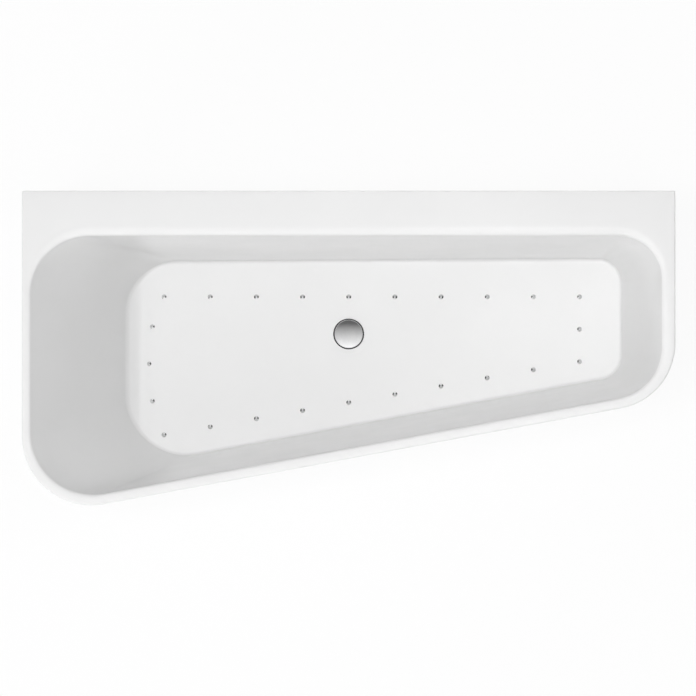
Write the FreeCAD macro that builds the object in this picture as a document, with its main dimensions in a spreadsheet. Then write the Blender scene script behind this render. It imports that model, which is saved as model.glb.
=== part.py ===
import FreeCAD, Part

import math
import os
import re

import Sketcher

# A back-to-wall air bath: an acrylic basin with a slanted front, an apron, a steel base frame on
# four levelling feet, a drain with its trap, and a blower that feeds a ring of floor jets.
# Millimetres. X runs along the bath towards its narrow end, Y towards the wall, Z up.
# The origin is on the floor, under the middle of the rim's outline.

V = FreeCAD.Vector
UP = V(0, 0, 1)

SIZES = {
    # Outline of the bath, seen from above
    "overall_length": 1600,
    "overall_width": 770,
    "narrow_width": 507.8,
    "corner_wide": 170,
    "corner_narrow": 162,
    "corner_back": 5,
    # Rim and basin
    "rim_back": 109,
    "rim_wide_end": 19,
    "rim_narrow_end": 32,
    "rim_front": 21,
    "rim_roll": 12,
    "rim_edge": 4,
    "lip_depth": 40,
    "lip_inner_corner": 2,
    "shell_wall": 6,
    "basin_depth": 430,
    "floor_rise": 150,
    "backrest_run": 198,
    "wall_run": 49,
    "wall_run_front": 46,
    "floor_fillet": 24,
    "mouth_radius_back_wide": 146,
    "mouth_radius_front_wide": 155,
    "mouth_radius_front_narrow": 128,
    "mouth_radius_back_narrow": 108,
    "floor_radius_back_wide": 132,
    "floor_radius_front_wide": 155,
    "floor_radius_front_narrow": 63,
    "floor_radius_back_narrow": 58,
    "cut_overshoot": 10,
    # Apron
    "apron_wall": 4,
    "apron_gap": 0.3,
    "apron_top_gap": 0.5,
    "apron_floor_gap": 12,
    # Base frame
    "board_thickness": 28,
    "board_gap": 4,
    "board_drain_hole": 100,
    "tube_size": 30,
    "tube_wall": 2,
    "rail_inset": 2,
    "rail_end_gap": 40,
    "cross_inset_wide": 70,
    "cross_inset_narrow": 130,
    "cross_back_gap": 85,
    "cross_front_gap": 14,
    "end_cap_flange": 3,
    "end_cap_plug": 12,
    "end_cap_fit": 0.2,
    # Brackets
    "bracket_width": 30,
    "bracket_height": 60,
    "bracket_reach": 60,
    "bracket_sheet": 3,
    "tray_bracket_gap": 64,
    "hook_spacing": 900,
    "hook_width": 60,
    "hook_sheet": 3,
    "hook_rise": 25,
    "hook_drop": 60,
    "hook_gap": 0.3,
    "hook_hole": 7,
    "hook_hole_spacing": 30,
    # Levelling feet
    "foot_inset": 75,
    "spindle_diameter": 12,
    "spindle_above": 22,
    "spindle_seat": 6,
    "thread_fit": 0.06,
    "tube_hole_fit": 0.5,
    "pad_diameter": 44,
    "pad_rim": 5,
    "pad_neck": 26,
    "pad_height": 14,
    "foot_nut_flats": 19,
    "foot_nut_height": 10,
    # Drain
    "drain_x": 0,
    "drain_inset_back": 190,
    "drain_hole": 54,
    "drain_flange_diameter": 82,
    "drain_flange_height": 2.5,
    "drain_flange_bevel": 2,
    "drain_tail_diameter": 51,
    "drain_tail_wall": 3,
    "drain_tail_length": 52,
    "upper_gasket": 1,
    "lower_gasket": 3,
    "gasket_diameter": 76,
    "guide_depth": 24,
    "guide_height": 8,
    "guide_diameter": 12,
    "guide_arm": 4,
    "plug_diameter": 75,
    "plug_edge": 1.5,
    "plug_crown": 5,
    "plug_seal_height": 2,
    "plug_seal_diameter": 64,
    "plug_seal_width": 6,
    "plug_gap": 0.1,
    "plug_lift": 8,
    "plug_stop_gap": 0.5,
    "stem_diameter": 6,
    "stem_fit": 0.05,
    "stem_collar": 10,
    "stem_collar_height": 2,
    "waste_wall": 3,
    "waste_flange": 4,
    "waste_fit": 0.2,
    "waste_floor_gap": 2,
    "dip_diameter": 36,
    "dip_length": 42,
    "trap_diameter": 88,
    "trap_wall": 2.5,
    "trap_height": 77,
    "trap_rise": 1,
    "trap_nut_wall": 3,
    "trap_nut_skirt": 15,
    "outlet_diameter": 40,
    "outlet_wall": 2.5,
    "outlet_drop": 39,
    "outlet_reach_in": 4,
    "outlet_back_gap": 30,
    "outlet_spigot": 50,
    "outlet_bead": 2.5,
    "outlet_bead_width": 4,
    # Air jets
    "jet_row_count": 10,
    "jet_end_count": 3,
    "jet_inset_back": 92,
    "jet_inset_wide": 96,
    "jet_inset_narrow": 110,
    "jet_inset_front_wide": 64,
    "jet_inset_front_narrow": 54,
    "jet_inset_end_middle": 56,
    "jet_inset_end_side": 65,
    "jet_end_pitch": 98,
    "jet_stem": 8,
    "jet_bore": 4,
    "jet_head": 13,
    "jet_head_edge": 0.8,
    "jet_head_height": 1.8,
    "jet_head_bevel": 1.6,
    "jet_fit": 0.2,
    "jet_dip": 8,
    "jet_seal": 2,
    "jet_seal_diameter": 14,
    "jet_nut_flats": 13,
    "jet_nut_height": 2.4,
    # Air ring and feed pipe
    "ring_diameter": 22,
    "ring_wall": 2,
    "ring_bend": 30,
    "ring_clear": 0.2,
    "ring_end": 16,
    "plug_cap_wall": 2,
    "plug_cap_depth": 10,
    "spigot_length": 34,
    "feed_diameter": 28,
    "feed_wall": 2.5,
    "feed_bend": 45,
    "feed_wall_gap": 55,
    "feed_top_gap": 80,
    "feed_join_x": -425,
    "feed_join_gap": 5,
    "feed_fit": 0.2,
    "hanger_spacing": 120,
    "hanger_width": 16,
    "hanger_wall": 3,
    # Check valve in the riser
    "valve_height": 260,
    "valve_diameter": 52,
    "valve_socket": 15,
    "valve_seat": 5,
    "valve_seat_bore": 22,
    "valve_chamber": 30,
    "valve_chamber_diameter": 44,
    "valve_guide": 6,
    "valve_guide_diameter": 12,
    "valve_port": 9,
    "valve_port_count": 6,
    "disc_diameter": 34,
    "disc_thickness": 3,
    "disc_gap": 0.1,
    "disc_stem": 6,
    "disc_stem_fit": 0.05,
    "disc_stem_reach": 6,
    "disc_stem_clear": 6,
    # Blower
    "blower_inset": 100,
    "blower_box_gap": 34,
    "tray_sheet": 3,
    "tray_length": 140,
    "tray_overlap": 20,
    "tray_motor_hole": 98,
    "bush_height": 8,
    "bush_diameter": 18,
    "bush_spacing": 84,
    "blower_screw": 6,
    "blower_screw_head": 10,
    "blower_screw_head_height": 4,
    "screw_fit": 0.2,
    "blower_diameter": 144,
    "blower_wall": 6,
    "blower_floor": 4,
    "blower_height": 56,
    "blower_outlet_inset": 16,
    "blower_outlet_height": 28,
    "blower_outlet_reach": 28,
    "cover_sheet": 4,
    "inlet_diameter": 52,
    "cover_screw": 3.5,
    "cover_screw_head": 6.5,
    "cover_screw_head_height": 2.5,
    "cover_screw_length": 12,
    "cover_screw_count": 6,
    "impeller_diameter": 116,
    "impeller_gap": 6,
    "impeller_plate": 2.5,
    "impeller_hub": 22,
    "impeller_depth": 28,
    "blade_count": 9,
    "blade_thickness": 2,
    "blade_root": 36,
    "blade_edge": 2,
    "shaft_diameter": 8,
    "shaft_fit": 0.04,
    "motor_diameter": 84,
    "motor_wall": 2.5,
    "motor_height": 65,
    "bearing_diameter": 20,
    "bearing_width": 7,
    "bearing_boss": 4,
    "bearing_fit": 0.02,
    "stator_diameter": 78,
    "stator_bore": 54,
    "stator_length": 36,
    "rotor_gap": 0.6,
    "coupling_wall": 3.5,
    "coupling_length": 40,
    "pipe_joint_gap": 0.5,
    # Control box and the motor's lead
    "box_length": 92,
    "box_width": 72,
    "box_height": 50,
    "box_wall": 2.5,
    "box_inset_x": 28,
    "box_back_gap": 6,
    "box_post": 7,
    "box_post_bite": 1,
    "board_post_height": 10,
    "circuit_sheet": 1.6,
    "circuit_margin": 4,
    "lid_sheet": 3,
    "lid_screw": 3,
    "lid_screw_head": 5.5,
    "lid_screw_head_height": 2,
    "lid_screw_length": 10,
    "lead_diameter": 6,
    "lead_bend": 34,
    "lead_height": 20,
    "lead_inset": 2,
    "grommet_diameter": 12,
    "grommet_length": 8,
    "grommet_fit": 0.2,
    "mains_gland_diameter": 18,
    "mains_gland_length": 20,
    "mains_gland_bore": 8,
    "mains_gland_rise": 24,
}

LAYOUT = {
    # Rim outline: the front line leaves the wide corner's arc and meets the narrow end's side at the
    # narrow width; it is given by its angle and its Y where it crosses X = 0
    "half_length": "overall_length / 2",
    "half_width": "overall_width / 2",
    "front_run": "overall_length - corner_wide",
    "front_step": "overall_width - narrow_width - corner_wide",
    "front_taper": "asin(corner_wide / sqrt(front_run ^ 2 + front_step ^ 2)) + atan(front_step / front_run)",
    "front_y": "-half_width + corner_wide + ((half_length - corner_wide) * sin(front_taper)"
               " - corner_wide) / cos(front_taper)",
    # Basin mouth and floor
    "basin_left": "-half_length + rim_wide_end",
    "basin_right": "half_length - rim_narrow_end",
    "basin_back": "half_width - rim_back",
    "basin_front": "front_y + rim_front / cos(front_taper)",
    "floor_left": "basin_left + backrest_run",
    "floor_right": "basin_right - wall_run",
    "floor_back": "basin_back - wall_run",
    "floor_front": "basin_front + wall_run_front / cos(front_taper)",
    "floor_top": "floor_rise",
    "rim_height": "floor_rise + basin_depth",
    "floor_under": "floor_top - shell_wall",
    "backrest_slope": "backrest_run / basin_depth",
    "wall_slope": "wall_run / basin_depth",
    "front_slope": "wall_run_front / basin_depth",
    "rim_under": "rim_height - shell_wall",
    "lip_under": "rim_height - lip_depth",
    # Apron
    "apron_inset": "shell_wall + apron_gap",
    "apron_inner": "apron_inset + apron_wall",
    "apron_inner_front": "front_y + apron_inner / cos(front_taper)",
    # Heights of the base frame, from the basin down
    "board_under": "floor_under - board_thickness",
    "rail_under": "board_under - tube_size",
    "cross_under": "rail_under - tube_size",
    # Jets and the pipe under them
    "jet_back_y": "floor_back - jet_inset_back",
    "jet_left_x": "floor_left + jet_inset_wide",
    "jet_right_x": "floor_right - jet_inset_narrow",
    "jet_front_wide_y": "floor_front + tan(front_taper) * jet_left_x + jet_inset_front_wide",
    "jet_front_narrow_y": "floor_front + tan(front_taper) * jet_right_x + jet_inset_front_narrow",
    "jet_end_y": "(floor_back + floor_front + tan(front_taper) * floor_left) / 2",
    "jet_narrow_y": "(jet_back_y + jet_front_narrow_y) / 2",
    "row_slope": "(jet_front_narrow_y - jet_front_wide_y) / (jet_right_x - jet_left_x)",
    "row_turn": "atan(row_slope)",
    "row_y": "jet_front_wide_y - row_slope * jet_left_x",
    "ring_left_x": "floor_left + (jet_inset_end_middle + jet_inset_end_side) / 2",
    "ring_z": "floor_under - jet_seal - jet_nut_height - ring_clear - ring_diameter / 2",
    "jet_stem_end": "ring_z + ring_diameter / 2 - jet_dip",
    # Floor board and rails, inside the ring
    "board_inset": "ring_diameter / 2 + board_gap",
    "board_left": "ring_left_x + ring_bend + board_gap",
    "board_right": "jet_right_x - board_inset",
    "board_back": "jet_back_y - board_inset",
    "board_front": "row_y + board_inset / cos(row_turn)",
    "back_rail_y": "board_back - rail_inset - tube_size / 2",
    "front_rail_y": "row_y + (board_inset + rail_inset + tube_size / 2) / cos(row_turn)",
    "rail_end": "half_length - rail_end_gap",
    "cross_wide_x": "floor_left + cross_inset_wide",
    "cross_narrow_x": "floor_right - cross_inset_narrow",
    "cross_back": "half_width - cross_back_gap",
    "cross_front": "front_y + (apron_inner + cross_front_gap) / cos(front_taper)",
    "cross_front_wide": "cross_front + tan(front_taper) * cross_wide_x",
    "cross_front_narrow": "cross_front + tan(front_taper) * cross_narrow_x",
    # Drain
    "drain_y": "floor_back - drain_inset_back",
    "drain_seat": "floor_top + upper_gasket",
    "drain_top": "drain_seat + drain_flange_height",
    "tail_radius": "drain_tail_diameter / 2",
    "tail_bore": "tail_radius - drain_tail_wall",
    "tail_end": "floor_top - drain_tail_length",
    "guide_top": "floor_top - guide_depth",
    "guide_under": "guide_top - guide_height",
    "plug_under": "drain_top + plug_gap + plug_seal_height",
    "plug_ball": "(plug_diameter ^ 2 / 4 + plug_crown ^ 2) / (2 * plug_crown)",
    "waste_top": "floor_under - lower_gasket",
    "waste_shelf": "tail_end - waste_floor_gap",
    "waste_under": "waste_shelf - waste_flange",
    "waste_radius": "tail_radius + waste_fit",
    "trap_top": "waste_shelf + trap_rise",
    "trap_under": "trap_top - trap_height",
    "trap_inner": "trap_diameter / 2 - trap_wall",
    "outlet_height": "trap_top - outlet_drop",
    # Blower on its tray
    "box_y": "back_rail_y + tube_size / 2 - box_back_gap - box_width",
    "blower_x": "-half_length + blower_inset",
    "blower_y": "box_y - blower_box_gap - blower_diameter / 2",
    "tray_bracket_y": "blower_y + tray_bracket_gap",
    "tray_top": "board_under + tray_sheet",
    "blower_under": "tray_top + bush_height",
    "blower_top": "blower_under + blower_height",
    "blower_inside": "blower_under + blower_floor",
    "blower_inner": "blower_diameter / 2 - blower_wall",
    "outlet_x": "blower_x - blower_diameter / 2 + blower_outlet_inset",
    "outlet_z": "blower_under + blower_outlet_height",
    "outlet_end": "blower_y + blower_diameter / 2 + blower_outlet_reach",
    "impeller_under": "blower_inside + impeller_gap",
    "impeller_top": "impeller_under + impeller_depth",
    "motor_under": "blower_under - motor_height",
    "shaft_radius": "shaft_diameter / 2",
    "bearing_low": "motor_under + motor_wall",
    "bearing_high": "blower_under - bearing_width",
    "stator_low": "(bearing_low + bearing_width + bearing_high - stator_length) / 2",
    # Feed pipe and check valve
    "feed_y": "half_width - feed_wall_gap",
    "feed_top": "rim_height - feed_top_gap",
    "feed_bore": "feed_diameter / 2 - feed_wall",
    "feed_start": "outlet_end + pipe_joint_gap",
    "valve_seat_low": "valve_height + valve_socket",
    "valve_seat_top": "valve_seat_low + valve_seat",
    "valve_split": "valve_seat_top + valve_chamber",
    "valve_guide_top": "valve_split + valve_guide",
    "valve_stop": "valve_guide_top + disc_stem_reach + disc_stem_clear",
    "valve_top": "valve_stop + valve_socket",
    # Control box
    "box_x": "outlet_x + box_inset_x",
    "box_top": "tray_top + box_height",
    "circuit_under": "tray_top + box_wall + board_post_height",
    "lead_y": "box_y + box_width / 2 - lead_diameter",
    "lead_z": "motor_under + lead_height",
}

doc = FreeCAD.newDocument("jetted_bathtub")
sizes = doc.addObject("Spreadsheet::Sheet", "sizes")
layout = doc.addObject("Spreadsheet::Sheet", "layout")
NAME = re.compile(r"[a-z_]+")


def bound(formula, sheet=None):
    """The formula with each name led by the sheet that holds it, as other objects write it."""
    def lead(match):
        name = match.group()
        if name in SIZES:
            return "sizes." + name
        if name in LAYOUT and sheet is None:
            return "layout." + name
        return name
    return NAME.sub(lead, str(formula))


def fill_sheets():
    """Write the driving sizes as plain numbers, and what follows from them as formulas."""
    for row, (name, number) in enumerate(SIZES.items(), 1):
        sizes.set(f"A{row}", name)
        sizes.set(f"B{row}", str(number))
        sizes.setAlias(f"B{row}", name)
    for row, (name, formula) in enumerate(LAYOUT.items(), 1):
        layout.set(f"A{row}", name)
        layout.set(f"B{row}", "=" + bound(formula, layout))
        layout.setAlias(f"B{row}", name)
    doc.recompute()


def value(formula):
    """The number that a formula of sheet names gives."""
    return float(sizes.evalExpression(bound(formula)))


# Directions, from straight down, at which outlines follow the rounding of the basin's floor edge
ROUNDING_ANGLES = (90, 60, 30, 0)
# Two places count as one within this distance
TOUCH = 0.01
# A bent bar's volume is right within this share
VOLUME_SHARE = 0.01

nodes = []


def node(piece, label):
    """Keep a finished piece under the name that its file gets."""
    piece.Label = label
    nodes.append(piece)
    return piece


def place(piece, spot, turn=V(0, 0, 1), angle=0):
    """Bind a piece's position to the sheets, with a fixed turn about one axis."""
    piece.Placement = FreeCAD.Placement(V(0, 0, 0), FreeCAD.Rotation(turn, angle))
    for axis, formula in zip("xyz", spot):
        piece.setExpression(f"Placement.Base.{axis}", bound(formula))
    return piece


def new_sketch(body, name, role, height="0"):
    """Sketch on one of the body's own origin planes, lifted along the plane's normal."""
    sketch = body.newObject("Sketcher::SketchObject", name)
    plane = [item for item in body.Origin.OriginFeatures if item.Role == role][0]
    sketch.AttachmentSupport = [(plane, "")]
    sketch.MapMode = "FlatFace"
    sketch.setExpression("AttachmentOffset.Base.z", bound(height))
    return sketch


def bind(sketch, constraint, formula):
    """Add a constraint whose number follows a formula."""
    number = sketch.addConstraint(constraint)
    sketch.setExpression(f"Constraints[{number}]", bound(formula))


def pin(sketch, item, vertex, spot):
    """Hold one vertex of a sketch at X and Y formulas."""
    for kind, formula in zip(("DistanceX", "DistanceY"), spot):
        bind(sketch, Sketcher.Constraint(kind, -1, 1, item, vertex, value(formula)), formula)


def polygon(sketch, points):
    """Closed outline of straight lines, each corner held by its two formulas."""
    first = sketch.GeometryCount
    spots = [V(value(x), value(y), 0) for x, y in points]
    for start, end in zip(spots, spots[1:] + spots[:1]):
        sketch.addGeometry(Part.LineSegment(start, end), False)
    for corner, spot in enumerate(points):
        following = first + (corner + 1) % len(points)
        sketch.addConstraint(Sketcher.Constraint("Coincident", first + corner, 2, following, 1))
        pin(sketch, first + corner, 1, spot)


def circle(sketch, spot, radius):
    """Circle with its centre and radius held by formulas."""
    centre = V(value(spot[0]), value(spot[1]), 0)
    item = sketch.addGeometry(Part.Circle(centre, UP, value(radius)), False)
    pin(sketch, item, 3, spot)
    bind(sketch, Sketcher.Constraint("Radius", item, value(radius)), radius)


def hexagon(sketch, flats):
    """Hexagon about the origin, given by its width across flats."""
    reach = f"{flats} / sqrt(3)"
    points = []
    for corner in range(6):
        points.append((f"{reach} * cos({60 * corner})", f"{reach} * sin({60 * corner})"))
    polygon(sketch, points)


def lathe(name, profile, spot=("0", "0", "0")):
    """Solid of revolution about a vertical axis; the profile is radius and height formulas."""
    body = doc.addObject("PartDesign::Body", name)
    sketch = new_sketch(body, name + "_profile", "XZ_Plane")
    polygon(sketch, profile)
    turned = body.newObject("PartDesign::Revolution", name + "_turned")
    turned.Profile = sketch
    turned.ReferenceAxis = (sketch, ["V_Axis"])
    turned.Angle = 360
    return place(body, spot)


def ring(name, inner, outer, low, high, spot=("0", "0", "0")):
    """Plain ring between two radii and two heights."""
    return lathe(name, [(inner, low), (outer, low), (outer, high), (inner, high)], spot)


def plate(name, points, low, thickness, holes=()):
    """Flat plate: a straight-sided outline with round holes, padded upwards from a height."""
    body = doc.addObject("PartDesign::Body", name)
    sketch = new_sketch(body, name + "_outline", "XY_Plane", low)
    polygon(sketch, points)
    for spot, radius in holes:
        circle(sketch, spot, radius)
    pad(body, sketch, thickness)
    return body


def pad(body, sketch, length, midplane=False):
    """Pad of a sketch along its normal."""
    padded = body.newObject("PartDesign::Pad", sketch.Name + "_pad")
    padded.Profile = sketch
    padded.Midplane = midplane
    padded.setExpression("Length", bound(length))
    return padded


def nut(name, flats, bore, height):
    """Hexagon nut standing on the origin."""
    body = doc.addObject("PartDesign::Body", name)
    sketch = new_sketch(body, name + "_hexagon", "XY_Plane")
    hexagon(sketch, flats)
    circle(sketch, ("0", "0"), bore)
    pad(body, sketch, height)
    return body


def rod(name, radius, length, spot, axis="z"):
    """Cylinder along +Z or +Y, from the given spot."""
    piece = doc.addObject("Part::Cylinder", name)
    piece.setExpression("Radius", bound(radius))
    piece.setExpression("Height", bound(length))
    angle = {"z": 0, "y": -90}[axis]
    return place(piece, spot, V(1, 0, 0), angle)


def block(name, spot, lengths):
    """Box from its low corner."""
    piece = doc.addObject("Part::Box", name)
    for side, formula in zip(("Length", "Width", "Height"), lengths):
        piece.setExpression(side, bound(formula))
    return place(piece, spot)


def fuse(name, *pieces):
    """Union of several pieces."""
    joined = doc.addObject("Part::MultiFuse", name)
    joined.Shapes = list(pieces)
    joined.Refine = True
    return joined


def cut(name, base, *tools):
    """The base with the tools taken out of it."""
    result = doc.addObject("Part::Cut", name)
    result.Base = base
    result.Tool = tools[0] if len(tools) == 1 else fuse(name + "_tools", *tools)
    result.Refine = True
    return result


def solid_of(name, shape):
    """Document object for a shape that code worked out."""
    piece = doc.addObject("Part::Feature", name)
    piece.Shape = shape
    return piece


def copies(label, source, spots):
    """One node that holds a copy of a piece at each spot, turned about Z where an angle is given."""
    doc.recompute()
    shapes = []
    for x, y, z, angle in spots:
        shape = source.Shape.copy()
        shape.Placement = FreeCAD.Placement(V(x, y, z), FreeCAD.Rotation(UP, angle)) * shape.Placement
        shapes.append(shape)
    return node(solid_of(label, Part.makeCompound(shapes)), label)


def lies_at(edge, height):
    """Whether an edge lies in one horizontal plane."""
    box = edge.BoundBox
    return abs(box.ZMin - height) < TOUCH and abs(box.ZMax - height) < TOUCH


def middle(edge):
    """Point half way along an edge."""
    return edge.valueAt((edge.FirstParameter + edge.LastParameter) / 2)


def bath_outline(body, name, shape, height):
    """Outline with straight back and ends, a slanted front and four rounded corners.

    The corners come in the order back wide, front wide, front narrow, back narrow. Lines and arcs
    meet in tangents, and the front line is held by its angle and its Y at X = 0.
    """
    sketch = new_sketch(body, name, "XY_Plane", height)
    left, right, back, front = (value(shape[side]) for side in ("left", "right", "back", "front"))
    slope = math.tan(math.radians(value("front_taper")))
    corners = [V(left, back, 0), V(left, front + slope * left, 0),
               V(right, front + slope * right, 0), V(right, back, 0)]
    starts, ends, arcs = [], [], []
    for number, corner in enumerate(corners):
        radius = value(shape["radii"][number])
        before = (corners[number - 1] - corner).normalize()
        after = (corners[(number + 1) % 4] - corner).normalize()
        half_turn = before.getAngle(after) / 2
        reach = radius / math.tan(half_turn)
        inward = (before + after).normalize()
        centre = corner + inward * (radius / math.sin(half_turn))
        ends.append(corner + before * reach)
        starts.append(corner + after * reach)
        arcs.append((centre, radius))
    lines = []
    for number in range(4):
        line = Part.LineSegment(starts[number], ends[(number + 1) % 4])
        lines.append(sketch.addGeometry(line, False))
    for number, (centre, radius) in enumerate(arcs):
        first = math.atan2(*reversed((ends[number] - centre)[:2]))
        last = math.atan2(*reversed((starts[number] - centre)[:2]))
        if last < first:
            last += 2 * math.pi
        arc = sketch.addGeometry(Part.ArcOfCircle(Part.Circle(centre, UP, radius), first, last), False)
        sketch.addConstraint(Sketcher.Constraint("Tangent", lines[number - 1], 2, arc, 1))
        sketch.addConstraint(Sketcher.Constraint("Tangent", arc, 2, lines[number], 1))
        bind(sketch, Sketcher.Constraint("Radius", arc, radius), shape["radii"][number])
    wide_line, front_line, narrow_line, back_line = lines
    sketch.addConstraint(Sketcher.Constraint("Vertical", wide_line))
    sketch.addConstraint(Sketcher.Constraint("Vertical", narrow_line))
    sketch.addConstraint(Sketcher.Constraint("Horizontal", back_line))
    bind(sketch, Sketcher.Constraint("Angle", front_line, math.atan(slope)), "front_taper")
    bind(sketch, Sketcher.Constraint("DistanceX", -1, 1, wide_line, 1, left), shape["left"])
    bind(sketch, Sketcher.Constraint("DistanceX", -1, 1, narrow_line, 1, right), shape["right"])
    bind(sketch, Sketcher.Constraint("DistanceY", -1, 1, back_line, 1, back), shape["back"])
    crossing = sketch.addGeometry(Part.Point(V(0, front, 0)), True)
    sketch.addConstraint(Sketcher.Constraint("PointOnObject", crossing, 1, -2))
    sketch.addConstraint(Sketcher.Constraint("PointOnObject", crossing, 1, front_line))
    bind(sketch, Sketcher.Constraint("DistanceY", -1, 1, crossing, 1, front), shape["front"])
    return sketch


def rim_shape(inset, back_corner, back_inset=None):
    """The bath's outer outline, drawn in by an inset."""
    return {
        "left": f"-half_length + {inset}",
        "right": f"half_length - ({inset})",
        "back": f"half_width - ({back_inset or inset})",
        "front": f"front_y + ({inset}) / cos(front_taper)",
        "radii": [back_corner, f"corner_wide - ({inset})", f"corner_narrow - ({inset})", back_corner],
    }


def basin_shape(height, grow, inset="0"):
    """The basin's inner outline at a height, grown square to its sloped walls and then drawn in."""
    rise = f"({height} - floor_top)"
    back_step = f"(wall_slope * {rise} + {grow} * sqrt(1 + wall_slope ^ 2) - {inset})"
    front_step = f"(front_slope * {rise} + {grow} * sqrt(1 + front_slope ^ 2) - {inset})"
    rest_step = f"(backrest_slope * {rise} + {grow} * sqrt(1 + backrest_slope ^ 2) - {inset})"
    radii = []
    for corner in ("back_wide", "front_wide", "front_narrow", "back_narrow"):
        low = f"floor_radius_{corner}"
        high = f"mouth_radius_{corner}"
        radii.append(f"{low} + ({high} - {low}) * {rise} / basin_depth + {grow} - {inset}")
    return {
        "left": f"floor_left - {rest_step}",
        "right": f"floor_right + {back_step}",
        "back": f"floor_back + {back_step}",
        "front": f"floor_front - {front_step} / cos(front_taper)",
        "radii": radii,
    }


def basin_loft(name, low, high, grow, fillet=None):
    """Ruled solid between the basin's outlines at two heights.

    A fillet rounds the floor edge with outlines that follow a quarter circle up to the wall.
    """
    body = doc.addObject("PartDesign::Body", name)
    outlines = []
    for angle in ROUNDING_ANGLES if fillet else ROUNDING_ANGLES[-1:]:
        height = f"({low} + ({fillet or 0}) * (1 - sin({angle})))"
        inset = f"({fillet or 0}) * (1 - cos({angle}))"
        outlines.append(bath_outline(body, f"{name}_{angle}", basin_shape(height, grow, inset), height))
    outlines[0].setExpression("AttachmentOffset.Base.z", bound(low))
    outlines.append(bath_outline(body, name + "_mouth", basin_shape(high, grow), high))
    loft = body.newObject("PartDesign::AdditiveLoft", name + "_loft")
    loft.Profile = outlines[0]
    loft.Sections = outlines[1:]
    loft.Ruled = True
    return body


def outline_slab(name, shape, low, height):
    """Slab of the bath's outline."""
    body = doc.addObject("PartDesign::Body", name)
    pad(body, bath_outline(body, name + "_outline", shape, low), height)
    return body


def jet_spots():
    """Centres of the floor jets: two rows, three at the wide end and one at the narrow end."""
    row = int(value("jet_row_count"))
    end = int(value("jet_end_count"))
    left, right = value("jet_left_x"), value("jet_right_x")
    back, row_y, slope = value("jet_back_y"), value("row_y"), value("row_slope")
    spots = []
    for number in range(row):
        x = left + (right - left) * number / (row - 1)
        spots.append((x, back))
        spots.append((x, row_y + slope * x))
    for number in range(end):
        step = number - (end - 1) / 2
        inset = "jet_inset_end_side" if step else "jet_inset_end_middle"
        spots.append((value("floor_left + " + inset), value("jet_end_y") + step * value("jet_end_pitch")))
    spots.append((right, value("jet_narrow_y")))
    return spots


def tub_shell():
    """Rim slab opened by the basin, rolled at its mouth, recessed underneath, on the basin's skin."""
    slab = outline_slab("rim_slab", rim_shape("0", "corner_back"), "lip_under", "lip_depth")
    hollow = basin_loft("hollow", "floor_top", "(rim_height + cut_overshoot)", "0", "floor_fillet")
    rim = cut("open_rim", slab, hollow)
    doc.recompute()
    rounded = doc.addObject("Part::Fillet", "rounded_rim")
    rounded.Base = rim
    edges = []
    for number, edge in enumerate(rim.Shape.Edges, 1):
        if lies_at(edge, value("rim_height")):
            at_mouth = hollow.Shape.distToShape(Part.Vertex(middle(edge)))[0] < TOUCH
            radius = value("rim_roll" if at_mouth else "rim_edge")
            edges.append((number, radius, radius))
    rounded.Edges = edges
    recess = outline_slab("recess", rim_shape("shell_wall", "lip_inner_corner"), "lip_under",
                          "lip_depth - shell_wall")
    collar = basin_loft("collar", "lip_under", "(rim_height - shell_wall / 2)", "shell_wall")
    rim_shell = cut("rim_shell", rounded, cut("recess_round_collar", recess, collar))
    skin = basin_loft("skin", "floor_under", "lip_under", "shell_wall", "floor_fillet + shell_wall")
    basin = fuse("basin", rim_shell, cut("open_skin", skin, hollow))
    low = value("floor_under - cut_overshoot")
    depth = value("shell_wall + 2 * cut_overshoot")
    drain_spot = V(value("drain_x"), value("drain_y"), low)
    bores = [Part.makeCylinder(value("drain_hole / 2"), depth, drain_spot)]
    for x, y in jet_spots():
        bores.append(Part.makeCylinder(value("jet_stem / 2 + jet_fit"), depth, V(x, y, low)))
    holes = solid_of("floor_holes", Part.makeCompound(bores))
    node(cut("shell", basin, holes), "tub_shell")


def apron_panel():
    """Thin wall round the wide end, the front and the narrow end, open towards the room's wall."""
    body = outline_slab("apron", rim_shape("apron_inset", "lip_inner_corner"), "apron_floor_gap",
                        "rim_under - apron_top_gap - apron_floor_gap")
    inside = rim_shape("apron_inner", "lip_inner_corner", "-cut_overshoot")
    inner = bath_outline(body, "apron_inside", inside, "apron_floor_gap")
    hollow = body.newObject("PartDesign::Pocket", "apron_hollow")
    hollow.Profile = inner
    hollow.Reversed = True
    hollow.Type = "ThroughAll"
    node(body, "apron_panel")


def bent_path(points, bend):
    """Wire of straight runs joined by tangent arcs of one radius."""
    edges = []
    start = points[0]
    for before, corner, after in zip(points, points[1:], points[2:]):
        back = (before - corner).normalize()
        on = (after - corner).normalize()
        half_angle = back.getAngle(on) / 2
        enter = corner + back * (bend / math.tan(half_angle))
        leave = corner + on * (bend / math.tan(half_angle))
        centre = corner + (back + on).normalize() * (bend / math.sin(half_angle))
        crown = centre + (corner - centre).normalize() * bend
        edges.append(Part.LineSegment(start, enter).toShape())
        edges.append(Part.Arc(enter, crown, leave).toShape())
        start = leave
    edges.append(Part.LineSegment(start, points[-1]).toShape())
    return Part.Wire(edges)


def round_bar(points, bend, radius):
    """Round bar along a bent path, checked against its section times its length."""
    path = bent_path(points, bend)
    section = Part.Wire(Part.makeCircle(radius, points[0], points[1] - points[0]))
    bar = path.makePipeShell([section], True, False)
    expected = math.pi * radius ** 2 * path.Length
    if abs(bar.Volume - expected) > VOLUME_SHARE * expected:
        raise RuntimeError("a bent bar has the wrong volume")
    return bar


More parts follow.
